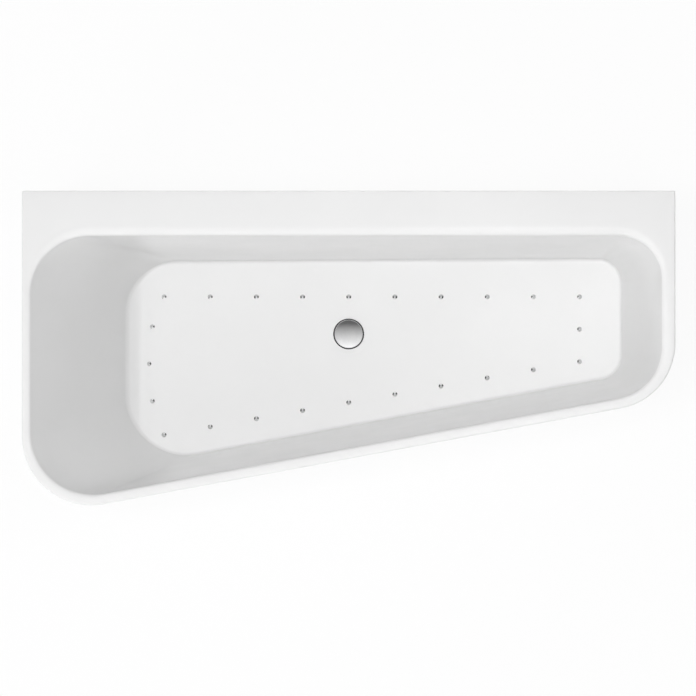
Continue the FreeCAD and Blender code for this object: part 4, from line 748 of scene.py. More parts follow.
def fleck_effect():
    """Pressed chips or chopped strands: long cells turned three ways, the lightest on top."""
    tree, given, out, place = effect("flecks", {"Scale": (NUMBER, 60.0), "Length": (NUMBER, 0.2)},
                                     {"Shade": NUMBER, "Edge": NUMBER})
    shade, edge = None, None
    squeeze = wire(tree, "ShaderNodeCombineXYZ", {0: given["Length"], 1: 1.0, 2: 1.0}).outputs[0]
    for turn in FLECK_TURNS:
        turned_place = wire(tree, "ShaderNodeMapping", {"Vector": place, "Rotation": turn}).outputs[0]
        drawn = stretched(tree, turned_place, squeeze)
        cells = wire(tree, "ShaderNodeTexVoronoi", {"Vector": drawn, "Scale": given["Scale"]})
        away = cells.outputs["Distance"]
        body = math_of(tree, "SUBTRACT", cell_shade(tree, cells), away)
        shade = math_of(tree, "MAXIMUM", shade, body) if shade else body
        edge = math_of(tree, "MINIMUM", edge, away) if edge else away
    tree.links.new(ranged(tree, shade, *FLECK_SHADES), out["Shade"])
    tree.links.new(ranged(tree, edge, 0.0, FLECK_EDGE), out["Edge"])
    return tree


MOTTLE = mottle_effect()
GRAIN = grain_effect()
SPANGLE = spangle_effect()
FLECKS = fleck_effect()


def placed(tree, group, **sockets):
    """A shared effect put into a material with its own values."""
    return wire(tree, "ShaderNodeGroup", sockets, node_tree=group).outputs


def bare(name, **shader):
    """A material with its Principled shader, constants set on the shader's own sockets."""
    material = bpy.data.materials.new(name)
    material.use_nodes = True
    tree = material.node_tree
    principled = tree.nodes["Principled BSDF"]
    for socket, setting in shader.items():
        principled.inputs[socket].default_value = setting
    return material, tree, principled.inputs


def coat(tree, shader, colour, gloss, rough, height, depth, strength=1.0):
    """Link a colour, a gloss carried over to a range of roughness, and a height as a bump."""
    bump = wire(tree, "ShaderNodeBump", {"Height": height, "Distance": depth, "Strength": strength})
    tree.links.new(colour, shader["Base Color"])
    tree.links.new(ranged(tree, gloss, 0.0, 1.0, *rough), shader["Roughness"])
    tree.links.new(bump.outputs[0], shader["Normal"])


def finish(name, dark, light, cloud, rough, grain, depth, rough_cloud=30.0, stretch=(1, 1, 1), **shader):
    """Clouded colour, clouded gloss and a fine grain: the common make-up of paint, plastic and metal."""
    material, tree, sockets = bare(name, **shader)
    colour = placed(tree, MOTTLE, Scale=cloud, Dark=rgba(dark), Light=rgba(light))["Colour"]
    gloss = placed(tree, MOTTLE, Scale=rough_cloud)["Amount"]
    height = placed(tree, GRAIN, Scale=grain, Stretch=stretch)["Height"]
    coat(tree, sockets, colour, gloss, rough, height, depth)
    return material


def celled(name, group, cells, dark, light, weight, cloud, rough, depth, strength=1.0, **shader):
    """Crystals, chips or strands of two colours with fine edges. The cells' own shade has a weight, and a
    slow cloud has the rest."""
    material, tree, sockets = bare(name, **shader)
    cell = placed(tree, group, **cells)
    slow = placed(tree, MOTTLE, Scale=cloud)["Amount"]
    share = math_of(tree, "ADD", math_of(tree, "MULTIPLY", cell["Shade"], weight),
                    math_of(tree, "MULTIPLY", slow, 1 - weight))
    colour = blended(tree, share, rgba(dark), rgba(light))
    coat(tree, sockets, colour, cell["Shade"], rough, cell["Edge"], depth, strength)
    return material


# A finish has its name, a dark and a light colour, the cloud's scale, the range of roughness, the grain's
# scale and the depth of its bump in metres. A celled one has its name, its cells, two colours, the cells'
# weight, the cloud's scale, the range of roughness, and the depth and strength of its bump.
METAL = {"Metallic": 1.0}
FINISH = {
    "acrylic": finish("white_acrylic", 0.80, 0.825, 2.5, (0.13, 0.19), 160.0, 0.000012, rough_cloud=7.0,
                      IOR=1.49),
    "fibreglass": celled("glass_mat_resin", FLECKS, {"Scale": 190.0, "Length": 0.08}, (0.60, 0.59, 0.53),
                         (0.80, 0.79, 0.74), 0.75, 9.0, (0.3, 0.5), 0.0004, IOR=1.52),
    "chrome": finish("polished_chrome", (0.80, 0.80, 0.81), 0.86, 30.0, (0.04, 0.09), 900.0, 0.000002,
                     rough_cloud=90.0, **METAL),
    "frame_steel": celled("galvanised_tube", SPANGLE, {"Scale": 120.0}, (0.44, 0.46, 0.48),
                          (0.64, 0.65, 0.66), 0.7, 8.0, (0.28, 0.44), 0.00003, 0.6, **METAL),
    "zinc_steel": finish("bright_zinc", (0.40, 0.41, 0.43), (0.54, 0.54, 0.53), 18.0, (0.24, 0.36), 300.0,
                         0.000004, rough_cloud=60.0, stretch=(1, 1, 0.2), **METAL),
    "rotor_metal": finish("laminated_steel", (0.22, 0.22, 0.23), (0.4, 0.4, 0.41), 40.0, (0.3, 0.45), 900.0,
                          0.00008, stretch=(0.02, 0.02, 1), **METAL),
    "motor_paint": finish("motor_enamel", (0.035, 0.04, 0.045), (0.06, 0.065, 0.07), 20.0, (0.32, 0.46),
                          500.0, 0.00006),
    "black_plastic": finish("black_moulding", (0.018, 0.018, 0.019), (0.035, 0.035, 0.036), 25.0,
                            (0.38, 0.55), 900.0, 0.00006),
    "grey_plastic": finish("grey_moulding", (0.38, 0.39, 0.40), (0.46, 0.47, 0.48), 12.0, (0.36, 0.5), 800.0,
                           0.00005),
    "white_pipe": finish("white_pipe_plastic", (0.74, 0.745, 0.74), (0.82, 0.82, 0.81), 9.0, (0.24, 0.36),
                         220.0, 0.00003, rough_cloud=25.0),
    "rubber": finish("black_rubber", 0.012, (0.03, 0.029, 0.028), 60.0, (0.6, 0.8), 600.0, 0.00008),
    "board": celled("chipboard", FLECKS, {"Scale": 120.0, "Length": 0.25}, (0.30, 0.19, 0.09),
                    (0.66, 0.50, 0.30), 0.75, 9.0, (0.55, 0.75), 0.0003),
    "circuit": finish("circuit_lacquer", (0.01, 0.09, 0.035), (0.02, 0.16, 0.06), 120.0, (0.25, 0.4), 900.0,
                      0.0001, stretch=(1, 0.1, 1)),
    "lead_sleeve": finish("lead_sleeve", 0.02, 0.04, 50.0, (0.45, 0.6), 500.0, 0.00005),
}


def dress(name, *nodes):
    """Give carried-over solids their finish."""
    for node in nodes:
        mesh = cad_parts[node].data
        mesh.materials.clear()
        mesh.materials.append(FINISH[name])


# Drain

DRAIN_SPOT = (*DRAIN, 0.0)
TAIL_BORE, TAIL_RADIUS, TAIL_LOW = 22.5, 25.5, 98.0
FLANGE_RADIUS = 41.0
FLANGE_SEAT, FLANGE_GROOVE, FLANGE_FACE = FLOOR_Z + 1, FLOOR_Z + 1.25, FLOOR_Z + 3.5
COVER_LOW, COVER_REACH, COVER_SIDE, COVER_CROWN, COVER_EDGE = 155.6, 37.5, 1.5, 4.0, 36.0


def drain_fittings():
    """Chrome flange and domed cover: turned profiles, the dome a part of a large ball. The flange falls in a
    cone of 38 degrees to a groove under the cover's edge, and rises again to the seat of the seal."""
    flange = [[TAIL_BORE, TAIL_LOW], [TAIL_RADIUS, TAIL_LOW], [TAIL_RADIUS, FLANGE_SEAT],
              [FLANGE_RADIUS, FLANGE_SEAT], [FLANGE_RADIUS, FLANGE_FACE - 0.9],
              [FLANGE_RADIUS - 0.3, FLANGE_FACE - 0.2], [FLANGE_RADIUS - 0.7, FLANGE_FACE],
              [37.4, FLANGE_GROOVE], [34.6, FLANGE_GROOVE], [33.2, FLANGE_FACE], [27, FLANGE_FACE],
              [TAIL_BORE + 1, FLANGE_FACE - 1.1], [TAIL_BORE, FLOOR_Z]]
    ease = [0.4, 0.4, 0.5, 0.3, 0.3, 0.25, 0.2, 0.3, 0.3, 0.3, 0.5, 0.5, 0.5]
    piece("drain_ring", [closed_turn(flange, DRAIN_SPOT, ease, 128)], "chrome", "drain_flange")
    ball = (COVER_REACH ** 2 + COVER_CROWN ** 2) / (2 * COVER_CROWN)
    radius = np.linspace(COVER_EDGE, 0, 26)
    height = COVER_LOW + COVER_SIDE + COVER_CROWN - ball + np.sqrt(ball ** 2 - radius ** 2)
    edge = np.array([[-1.7, 0], [-0.6, 0.2], [-0.1, 0.6], [-0.05, 1.0], [-0.3, 1.5], [-0.8, 1.8]])
    skirt = edge + [COVER_REACH, COVER_LOW]
    profile = np.concatenate([[[0, COVER_LOW]], skirt, np.stack([radius, height], axis=-1)])
    piece("drain_cover", [turned(profile, DRAIN_SPOT, 128)], "chrome", "drain_cap", body="drain_plug")


WASTE_BORE, WASTE_RADIUS, WASTE_FLANGE, WASTE_TOP, WASTE_SHEET = 25.7, 28.7, 38.0, 141.0, 4.0
PLATE_RADIUS, PLATE_Z = 41.3, 96.0
DIP_BORE, DIP_RADIUS, DIP_LOW = 15.0, 18.0, 50.0
CUP_RADIUS, CUP_WALL, CUP_LOW, CUP_HIGH = 44.0, 2.5, 20.0, 97.0
RING_NUT_GAP, RING_NUT_WALL, RING_NUT_LOW = 0.2, 3.0, 82.0
OUTLET_Z, OUTLET_RADIUS, OUTLET_BORE, OUTLET_START, OUTLET_END = 58.0, 20.0, 17.5, DRAIN[1] + 37.5, 355.0
STOP_RADIUS, STOP_START, STOP_END = 22.5, 301.0, 305.0


def trap():
    """Waste body with its dip tube, cup, ribbed nut and the outlet pipe with its stop bead."""
    flange, plate = WASTE_TOP - WASTE_SHEET, PLATE_Z - WASTE_SHEET
    waste = [[WASTE_BORE, WASTE_TOP], [WASTE_FLANGE, WASTE_TOP], [WASTE_FLANGE, flange],
             [WASTE_RADIUS, flange], [WASTE_RADIUS, PLATE_Z], [PLATE_RADIUS, PLATE_Z], [PLATE_RADIUS, plate],
             [DIP_RADIUS, plate], [DIP_RADIUS, DIP_LOW], [DIP_BORE, DIP_LOW], [DIP_BORE, PLATE_Z],
             [WASTE_BORE, PLATE_Z]]
    piece("waste_tail", [closed_turn(waste, DRAIN_SPOT, 0.8)], "white_pipe", "waste_body")
    inner, bottom = CUP_RADIUS - CUP_WALL, CUP_LOW + CUP_WALL
    cup = [[0, CUP_LOW], [CUP_RADIUS, CUP_LOW], [CUP_RADIUS, CUP_HIGH], [inner, CUP_HIGH], [inner, bottom],
           [0, bottom]]
    bowl = turned(eased(cup, [0, 12, 0.6, 0.6, 10, 0], 8), DRAIN_SPOT, 96)
    piece("trap_bowl", [bowl], "white_pipe", "trap_cup")
    neck, seat = WASTE_RADIUS + RING_NUT_GAP, CUP_RADIUS + RING_NUT_GAP
    under, grip = CUP_HIGH + RING_NUT_GAP, seat + RING_NUT_WALL
    top = under + RING_NUT_WALL
    nut = [[neck, under], [seat, under], [seat, RING_NUT_LOW], [grip, RING_NUT_LOW], [grip, RING_NUT_LOW + 2],
           [grip, top - 2.2], [grip - 1.4, top], [neck, top]]
    ribs = (32, 0.9, RING_NUT_LOW + 0.9, top - 1.2)
    piece("trap_ring_nut", [closed_turn(nut, DRAIN_SPOT, 0.6, 192, flutes=ribs)], "white_pipe", "trap_nut")
    pipe = [[OUTLET_BORE, OUTLET_START], [OUTLET_RADIUS, OUTLET_START], [OUTLET_RADIUS, STOP_START],
            [STOP_RADIUS, STOP_START], [STOP_RADIUS, STOP_END], [OUTLET_RADIUS, STOP_END],
            [OUTLET_RADIUS, OUTLET_END - 3], [OUTLET_RADIUS - 1, OUTLET_END], [OUTLET_BORE, OUTLET_END]]
    spigot = closed_turn(pipe, (DRAIN[0], 0, OUTLET_Z), 0.7, 64, "y")
    piece("outlet_spigot", [spigot], "white_pipe", "outlet_pipe")


# Air jets and pipes

JET_COUNT = 10
JET_LEFT, JET_RIGHT, JET_BACK = -487.0, 609.0, 135.0
JET_EDGE, JET_INSET_WIDE, JET_INSET_NARROW = 67.0, 64.0, 54.0
JET_FRONT_WIDE = inside_front(JET_EDGE, JET_LEFT) + JET_INSET_WIDE
JET_FRONT_NARROW = inside_front(JET_EDGE, JET_RIGHT) + JET_INSET_NARROW
JET_END = (FLOOR_SIDES[3] + inside_front(JET_EDGE, FLOOR_SIDES[0])) / 2
JET_END_MIDDLE, JET_END_SIDE, JET_END_STEP = -527.0, -518.0, 98.0
ROW_SLOPE = (JET_FRONT_NARROW - JET_FRONT_WIDE) / (JET_RIGHT - JET_LEFT)
ROW_TURN = math.atan(ROW_SLOPE)
ROW_Y = JET_FRONT_WIDE - ROW_SLOPE * JET_LEFT
JET_BORE, JET_STEM, JET_FACE, JET_HOLE, JET_LENGTH = 2.0, 4.0, 6.45, 0.9, 18.6
JET_FIT, JET_SEAL, JET_SEAL_SHEET, JET_NUT, JET_NUT_HEIGHT = 0.2, 7.0, 2.0, 13.0, 2.4


def behind_row(gap, x):
    """Y of the line that runs a gap behind the front row of jets."""
    return ROW_Y + gap / math.cos(ROW_TURN) + ROW_SLOPE * x


def jet_places():
    """Centres of the jets: a row along the back, a row along the front, three at the wide end and one at
    the narrow end."""
    along = np.linspace(JET_LEFT, JET_RIGHT, JET_COUNT)
    back = np.stack([along, np.full(JET_COUNT, JET_BACK)], axis=-1)
    front = np.stack([along, behind_row(0, along)], axis=-1)
    ends = [[JET_END_MIDDLE, JET_END], [JET_END_SIDE, JET_END + JET_END_STEP],
            [JET_END_SIDE, JET_END - JET_END_STEP], [JET_RIGHT, (JET_BACK + JET_FRONT_NARROW) / 2]]
    flat = np.concatenate([back, front, np.array(ends)])
    return np.concatenate([flat, ramp_height(flat[:, :1])], axis=-1)


def air_jets():
    """Chrome nozzles with a coned face and a fine air hole, and under the floor their seals and nuts."""
    low, under = FLOOR_Z - JET_LENGTH, FLOOR_Z - WALL
    face = np.array([[JET_FACE, 0], [JET_FACE - 0.05, 0.2], [5.8, 0.38], [2.5, 1.78], [1.5, 1.8],
                     [JET_HOLE, 1.65], [JET_HOLE, 0.9], [JET_BORE, 0.2]])
    stem = [[JET_BORE, low], [JET_STEM, low], [JET_STEM, FLOOR_Z]]
    nozzle = np.concatenate([stem, face + [0, FLOOR_Z]])
    ease = [0.2, 0.2, 0.2, 0.1, 0.2, 0.5, 0.5, 0.4, 0.2, 0.2, 0.2]
    bore, seat = JET_STEM + JET_FIT, under - JET_SEAL_SHEET
    seal = [[bore, seat], [JET_SEAL, seat], [JET_SEAL, under], [bore, under]]
    nut = hexagon_nut((0, 0, seat - JET_NUT_HEIGHT), JET_NUT, bore, JET_NUT_HEIGHT, 48)
    parts = {("air_jet_faces", "chrome", "jet_nozzles"): closed_turn(nozzle, ORIGIN, ease, 40),
             ("air_jet_washers", "rubber", "jet_seals"): closed_turn(seal, ORIGIN, 0.4, 32, steps=2),
             ("air_jet_nuts", "grey_plastic", "jet_nuts"): nut}
    for (name, slot, node), part in parts.items():
        piece(name, repeated(part, jet_places()), slot, node)


RING_Z, RING_LEFT, RING_RIGHT, RING_RADIUS, RING_BEND = 128.4, -522.5, JET_RIGHT + 16, 11.0, 30.0
SPIGOT_RADIUS, SPIGOT_LENGTH, TEE_RADIUS, TEE_HALF = 11.3, 45.0, 12.6, 22.0
STOPPER, STOPPER_CORNER, STOPPER_SHEET = 22.0, 9.9, 2.0
FEED_X, FEED_Y, FEED_JOIN, FEED_TOP = -756.0, 330.0, -425.0, 500.0
FEED_RADIUS, FEED_BORE, FEED_BEND, FEED_START, FEED_END = 14.0, 12.0, 45.0, 34.5, 151.0
PIPE_FIT = FEED_RADIUS + 0.2
BLOWER_Z = 155.0
CUFF_RADIUS, CUFF_BEAD, CUFF_START, CUFF_END = 17.2, 0.5, 14.0, 54.0
VALVE_LOW, VALVE_SPLIT, VALVE_HIGH, VALVE_SOCKET = 260.0, 310.0, 343.0, 15.0


def air_pipes():
    """Ring under the jets, its spigot and end plugs, and the feed pipe up over the rim's underside."""
    front = [[x, behind_row(0, x), RING_Z] for x in (RING_RIGHT, RING_LEFT)]
    back = [[x, JET_BACK, RING_Z] for x in (RING_LEFT, RING_RIGHT)]
    corners = np.array(front + back)
    across = [[JET_RIGHT, y, RING_Z] for y in (JET_BACK, JET_FRONT_NARROW)]
    spigot = [[FEED_JOIN, y, RING_Z] for y in (JET_BACK, JET_BACK + SPIGOT_LENGTH)]
    tee = [[FEED_JOIN + x, JET_BACK, RING_Z] for x in (-TEE_HALF, TEE_HALF)]
    runs = [(bent(corners, RING_BEND), RING_RADIUS), (across, RING_RADIUS), (spigot, SPIGOT_RADIUS),
            (tee, TEE_RADIUS)]
    pipes = [swept(run, circle_section(radius)) for run, radius in runs]
    piece("air_ring_pipe", pipes, "white_pipe", "air_ring")
    plug = oblong(STOPPER, STOPPER, STOPPER_CORNER, 8)
    ends = ((corners[0], corners[1]), (corners[3], corners[2]))
    plugs = [swept([last, last + STOPPER_SHEET * unit(last - before)], plug) for last, before in ends]
    piece("ring_stoppers", plugs, "grey_plastic", "ring_end_plugs")
    low = [[FEED_X, FEED_START, BLOWER_Z], [FEED_X, FEED_Y, BLOWER_Z],
           [FEED_X, FEED_Y, VALVE_LOW + VALVE_SOCKET]]
    high = [[FEED_X, FEED_Y, VALVE_HIGH - VALVE_SOCKET], [FEED_X, FEED_Y, FEED_TOP],
            [FEED_JOIN, FEED_Y, FEED_TOP], [FEED_JOIN, FEED_Y, RING_Z], [FEED_JOIN, FEED_END, RING_Z]]
    feeds = {("feed_riser", "feed_pipe_lower"): low, ("feed_arch", "feed_pipe_upper"): high}
    for (name, node), points in feeds.items():
        pipe = sleeve(bent(points, FEED_BEND), FEED_RADIUS, FEED_BORE)
        piece(name, [pipe, *elbows(points, FEED_BEND, FEED_RADIUS)], "white_pipe", node)
    bead = CUFF_RADIUS + CUFF_BEAD
    cuff = [[PIPE_FIT, CUFF_START], [bead, CUFF_START], [bead, CUFF_START + 2], [CUFF_RADIUS, CUFF_START + 6],
            [CUFF_RADIUS, CUFF_END - 6], [bead, CUFF_END - 2], [bead, CUFF_END], [PIPE_FIT, CUFF_END]]
    coupling = closed_turn(cuff, (FEED_X, 0, BLOWER_Z), 0.5, 48, "y")
    piece("blower_sleeve", [coupling], "rubber", "blower_coupling")


STRAP_SHEET, STRAP_WIDTH, STRAP_STEP, STRAP_REACH = 3.0, 16.0, 60.0, 15.7
STRAP_TOP = RIM_Z - WALL - 0.1
STRAP_TURNS = 48


def hangers():
    """Straps from the rim's underside with a loop round the feed pipe."""
    strip = oblong(STRAP_SHEET, STRAP_WIDTH, 0.7)
    angle = np.arange(-1, STRAP_TURNS + 1) * 2 * np.pi / STRAP_TURNS
    parts = []
    for x in (FEED_X + FEED_JOIN) / 2 + np.array([-STRAP_STEP, STRAP_STEP]):
        loop = np.stack([np.full(len(angle), x), FEED_Y + STRAP_REACH * np.sin(angle),
                         FEED_TOP + STRAP_REACH * np.cos(angle)], axis=-1)
        strap = [[x, FEED_Y, FEED_TOP + STRAP_REACH], [x, FEED_Y, STRAP_TOP]]
        parts += [skin(carried(loop, strip, (1, 0, 0))[1:-1], along=True), swept(strap, strip, (1, 0, 0))]
    piece("pipe_straps", parts, "zinc_steel", "pipe_hangers")


VALVE_RADIUS, VALVE_CHAMBER, VALVE_PORT, VALVE_GUIDE = 26.0, 22.0, 11.0, 3.05
VALVE_PLATE, VALVE_ROOF, VALVE_GAP = 5.0, 6.0, 0.3


def valve():
    """Check valve on the riser: two hollow turned halves, each coned down to the socket of its pipe."""
    spot = (FEED_X, FEED_Y, 0)
    low, seat, rim = VALVE_LOW, VALVE_LOW + VALVE_SOCKET, VALVE_SPLIT - VALVE_GAP
    port = seat + VALVE_PLATE
    body = [[PIPE_FIT, low], [17.5, low], [17.5, low + 6], [VALVE_RADIUS, low + 12], [VALVE_RADIUS, rim],
            [VALVE_CHAMBER, rim], [VALVE_CHAMBER, port], [VALVE_PORT, port], [VALVE_PORT, seat],
            [PIPE_FIT, seat]]
    piece("valve_lower_half", [closed_turn(body, spot, 1.0, 144)], "white_pipe", "valve_body")
    high, stop, roof = VALVE_HIGH, VALVE_HIGH - VALVE_SOCKET, VALVE_SPLIT + VALVE_ROOF
    port = stop - VALVE_PLATE
    cap = [[VALVE_GUIDE, VALVE_SPLIT], [VALVE_RADIUS, VALVE_SPLIT], [VALVE_RADIUS, high - 13],
           [18.5, high - 7], [18.5, high], [PIPE_FIT, high], [PIPE_FIT, stop], [VALVE_PORT, stop],
           [VALVE_PORT, port], [VALVE_CHAMBER, port], [VALVE_CHAMBER, roof], [VALVE_GUIDE, roof]]
    piece("valve_upper_half", [closed_turn(cap, spot, 0.8, 144)], "grey_plastic", "valve_cap")


# Base frame

RAIL_Z, CROSS_Z = 101.0, 71.0
RAIL_TOP, CROSS_TOP = RAIL_Z + TUBE / 2, CROSS_Z + TUBE / 2
RAIL_END, RAIL_BACK, RAIL_GAP = 760.0, 103.0, 32.0
CROSS = {"wide": -513.0, "narrow": 589.0}
CROSS_BACK, CROSS_EDGE = 300.0, 24.3
CROSS_FRONT = {end: inside_front(CROSS_EDGE, x) for end, x in CROSS.items()}
BOARD_LEFT, BOARD_RIGHT, BOARD_BACK, BOARD_GAP, BOARD_HOLE = -488.5, 594.0, 120.0, 15.0, 50.0
CAP_PLACES, CAP_SIZES = (-12.0, 0.0, 0.0, 2.2, 3.0), (25.6, 25.6, 30.0, 30.0, 28.0)


def base_frame():
    """Floor board, rails, cross members and the caps in their ends."""
    front = [[x, behind_row(BOARD_GAP, x)] for x in (BOARD_LEFT, BOARD_RIGHT)]
    corners = [*front, [BOARD_RIGHT, BOARD_BACK], [BOARD_LEFT, BOARD_BACK]]
    plate = holed_plate(corners, DRAIN, BOARD_HOLE, RAIL_TOP, FLOOR_Z - WALL, 1.0, 2.0)
    piece("base_board", [plate], "board", "floor_board")
    ends = (-RAIL_END, RAIL_END)
    tubes = {("back_tube", "back_rail"): [[x, RAIL_BACK, RAIL_Z] for x in ends],
             ("front_tube", "front_rail"): [[x, behind_row(RAIL_GAP, x), RAIL_Z] for x in ends]}
    for name, x in CROSS.items():
        line = [[x, CROSS_FRONT[name], CROSS_Z], [x, CROSS_BACK, CROSS_Z]]
        tubes[f"cross_tube_{name}", f"cross_member_{name}"] = line
    caps = []
    sections = np.array(CAP_SIZES)[:, None, None] * oblong(1, 1, 0.1)
    for (name, node), (start, end) in tubes.items():
        start, end = np.array(start), np.array(end)
        piece(name, [square_tube(start, end)], "frame_steel", node)
        for spot, out in ((end, unit(end - start)), (start, unit(start - end))):
            places = spot + np.array(CAP_PLACES)[:, None] * out
            caps.append(capped(upright(places, sections, out), [places[0], places[-1]]))
    piece("tube_caps", caps, "black_plastic", "tube_end_caps")


FOOT_INSET = 75.0
FEET = {f"{end}_{side}": (x, y) for end, x in CROSS.items()
        for side, y in (("back", CROSS_BACK - FOOT_INSET), ("front", CROSS_FRONT[end] + FOOT_INSET))}
THREAD_PITCH, THREAD_CREST, THREAD_ROOT, THREAD_LOW, THREAD_HIGH = 1.75, 5.96, 5.0, 6.2, 108.0
THREAD_ROWS, THREAD_SIDES, THREAD_RUNOUT = 6, 24, 2.0
THREAD_HOLE = 6.06
PAD_RADIUS, PAD_HIGH, PAD_FLOOR = 22.0, 14.0, 6.1
FOOT_NUT, FOOT_NUT_HEIGHT = 19.0, 10.0
FOOT_NUT_LEVELS = (CROSS_TOP - TUBE - FOOT_NUT_HEIGHT, CROSS_TOP)


def spindle():
    """Threaded rod: its radius falls from crest to root and back once a pitch, and this wave moves along by
    one pitch in a turn. It runs out to the root at both ends."""
    length = THREAD_HIGH - THREAD_LOW
    z = np.linspace(THREAD_LOW, THREAD_HIGH, int(length / THREAD_PITCH * THREAD_ROWS))[:, None]
    angle = np.linspace(0, 2 * np.pi, THREAD_SIDES, endpoint=False)[None, :]
    wave = np.abs(np.mod(z / THREAD_PITCH - angle / (2 * np.pi), 1) * 2 - 1)
    lead_in = np.clip(np.minimum(z - THREAD_LOW, THREAD_HIGH - z) / THREAD_RUNOUT, 0, 1)
    radius = THREAD_ROOT + (THREAD_CREST - THREAD_ROOT) * wave * lead_in
    level = np.broadcast_to(z, radius.shape)
    thread = np.stack([radius * np.cos(angle), radius * np.sin(angle), level], axis=-1)
    return capped(thread, [THREAD_LOW * UP, THREAD_HIGH * UP])


def levelling_feet():
    """Threaded spindles, pads with a ring groove underneath, and the nuts on the frame."""
    profile = [[0, 0], [18, 0], [18.5, 1.2], [20, 1.2], [20.5, 0], [PAD_RADIUS, 0], [PAD_RADIUS, 5],
               [13.5, PAD_HIGH - 1], [12.5, PAD_HIGH], [THREAD_HOLE, PAD_HIGH], [THREAD_HOLE, PAD_FLOOR],
               [0, PAD_FLOOR]]
    pad = turned(eased(profile, 0.8, 3), ORIGIN, 120)
    screw = spindle()
    nuts = []
    for name, (x, y) in FEET.items():
        spot, body = [(x, y, 0)], f"foot_{name}"
        piece(f"foot_screw_{name}", repeated(screw, spot), "zinc_steel", f"foot_spindle_{name}", body=body)
        piece(f"foot_disc_{name}", repeated(pad, spot), "black_plastic", f"foot_pad_{name}", body=body)
        nuts += [hexagon_nut((x, y, z), FOOT_NUT, THREAD_HOLE, FOOT_NUT_HEIGHT) for z in FOOT_NUT_LEVELS]
    piece("frame_nuts", nuts, "zinc_steel", "foot_nuts")


ANGLE_LEG, ANGLE_WIDTH, ANGLE_SHEET, ANGLE_BEND = 60.0, 30.0, 3.0, 4.0
RAIL_ANGLE_Z, SHELF_ANGLE_Z = RAIL_TOP - TUBE - ANGLE_SHEET, RAIL_TOP - ANGLE_SHEET
SHELF_ANGLE_Y = -2.0


def apron_angles():
    """Bent steel angles between the frame and the apron: a flat strip carried round one bend."""
    strip = oblong(ANGLE_SHEET, ANGLE_WIDTH, 0.5)
    half = ANGLE_SHEET / 2
    run = bent([[-ANGLE_LEG, 0, half], [-half, 0, half], [-half, 0, ANGLE_LEG]], ANGLE_BEND, 8)
    side = HALF_LENGTH - APRON_IN
    places = [(-side, RAIL_BACK, RAIL_ANGLE_Z, 180), (side, RAIL_BACK, RAIL_ANGLE_Z, 0),
              (side, behind_row(RAIL_GAP, side), RAIL_ANGLE_Z, 0), (-side, SHELF_ANGLE_Y, SHELF_ANGLE_Z, 180)]
    square = math.degrees(TAPER) - 90
    places += [(x, inside_front(APRON_IN, x), CROSS_TOP, square) for x in CROSS.values()]
    parts = []
    for x, y, z, turn in places:
        cosine, sine = math.cos(math.radians(turn)), math.sin(math.radians(turn))
        spin = np.array([[cosine, sine, 0], [-sine, cosine, 0], [0, 0, 1]])
        parts.append(swept(run @ spin + np.array([x, y, z]), strip, np.array([0, 1.0, 0]) @ spin))
    piece("apron_angles", parts, "zinc_steel", "apron_brackets")


# Blower and control box

BLOWER = np.array([-700.0, -66.0])
BLOWER_SPOT = (*BLOWER, 0.0)
FAN_RADIUS, FAN_WALL, FAN_LOW, FAN_FLOOR, FAN_HIGH, FAN_BAND = 72.0, 6.0, 127.0, 131.0, 183.0, 2.0
FAN_FLUTES = (30, 1.4, 136.7, 171.3)
SHAFT_HOLE, BOSS_BORE, BOSS_RADIUS, BOSS_LOW = 4.04, 10.02, 14.02, 120.0
SPOUT_BORE, SPOUT_START, SPOUT_END = 11.5, -20.0, 34.0
INLET, LID_TOP, LID_GROOVE, LID_BEAD = 26.0, FAN_HIGH + 4, FAN_HIGH + 2.8, FAN_HIGH + 5.6
LID_SCREWS, LID_SCREW_REACH, LID_SCREW_HEAD, LID_SCREW_HEIGHT = 6, 69.0, 3.25, 2.5
CAN_RADIUS, CAN_WALL, CAN_LOW, CAN_HIGH = 42.0, 2.5, 62.0, FAN_LOW - 0.1
CAN_FLUTES, CAN_LEVELS = (36, 0.9, 70, 122), range(78, 109, 6)


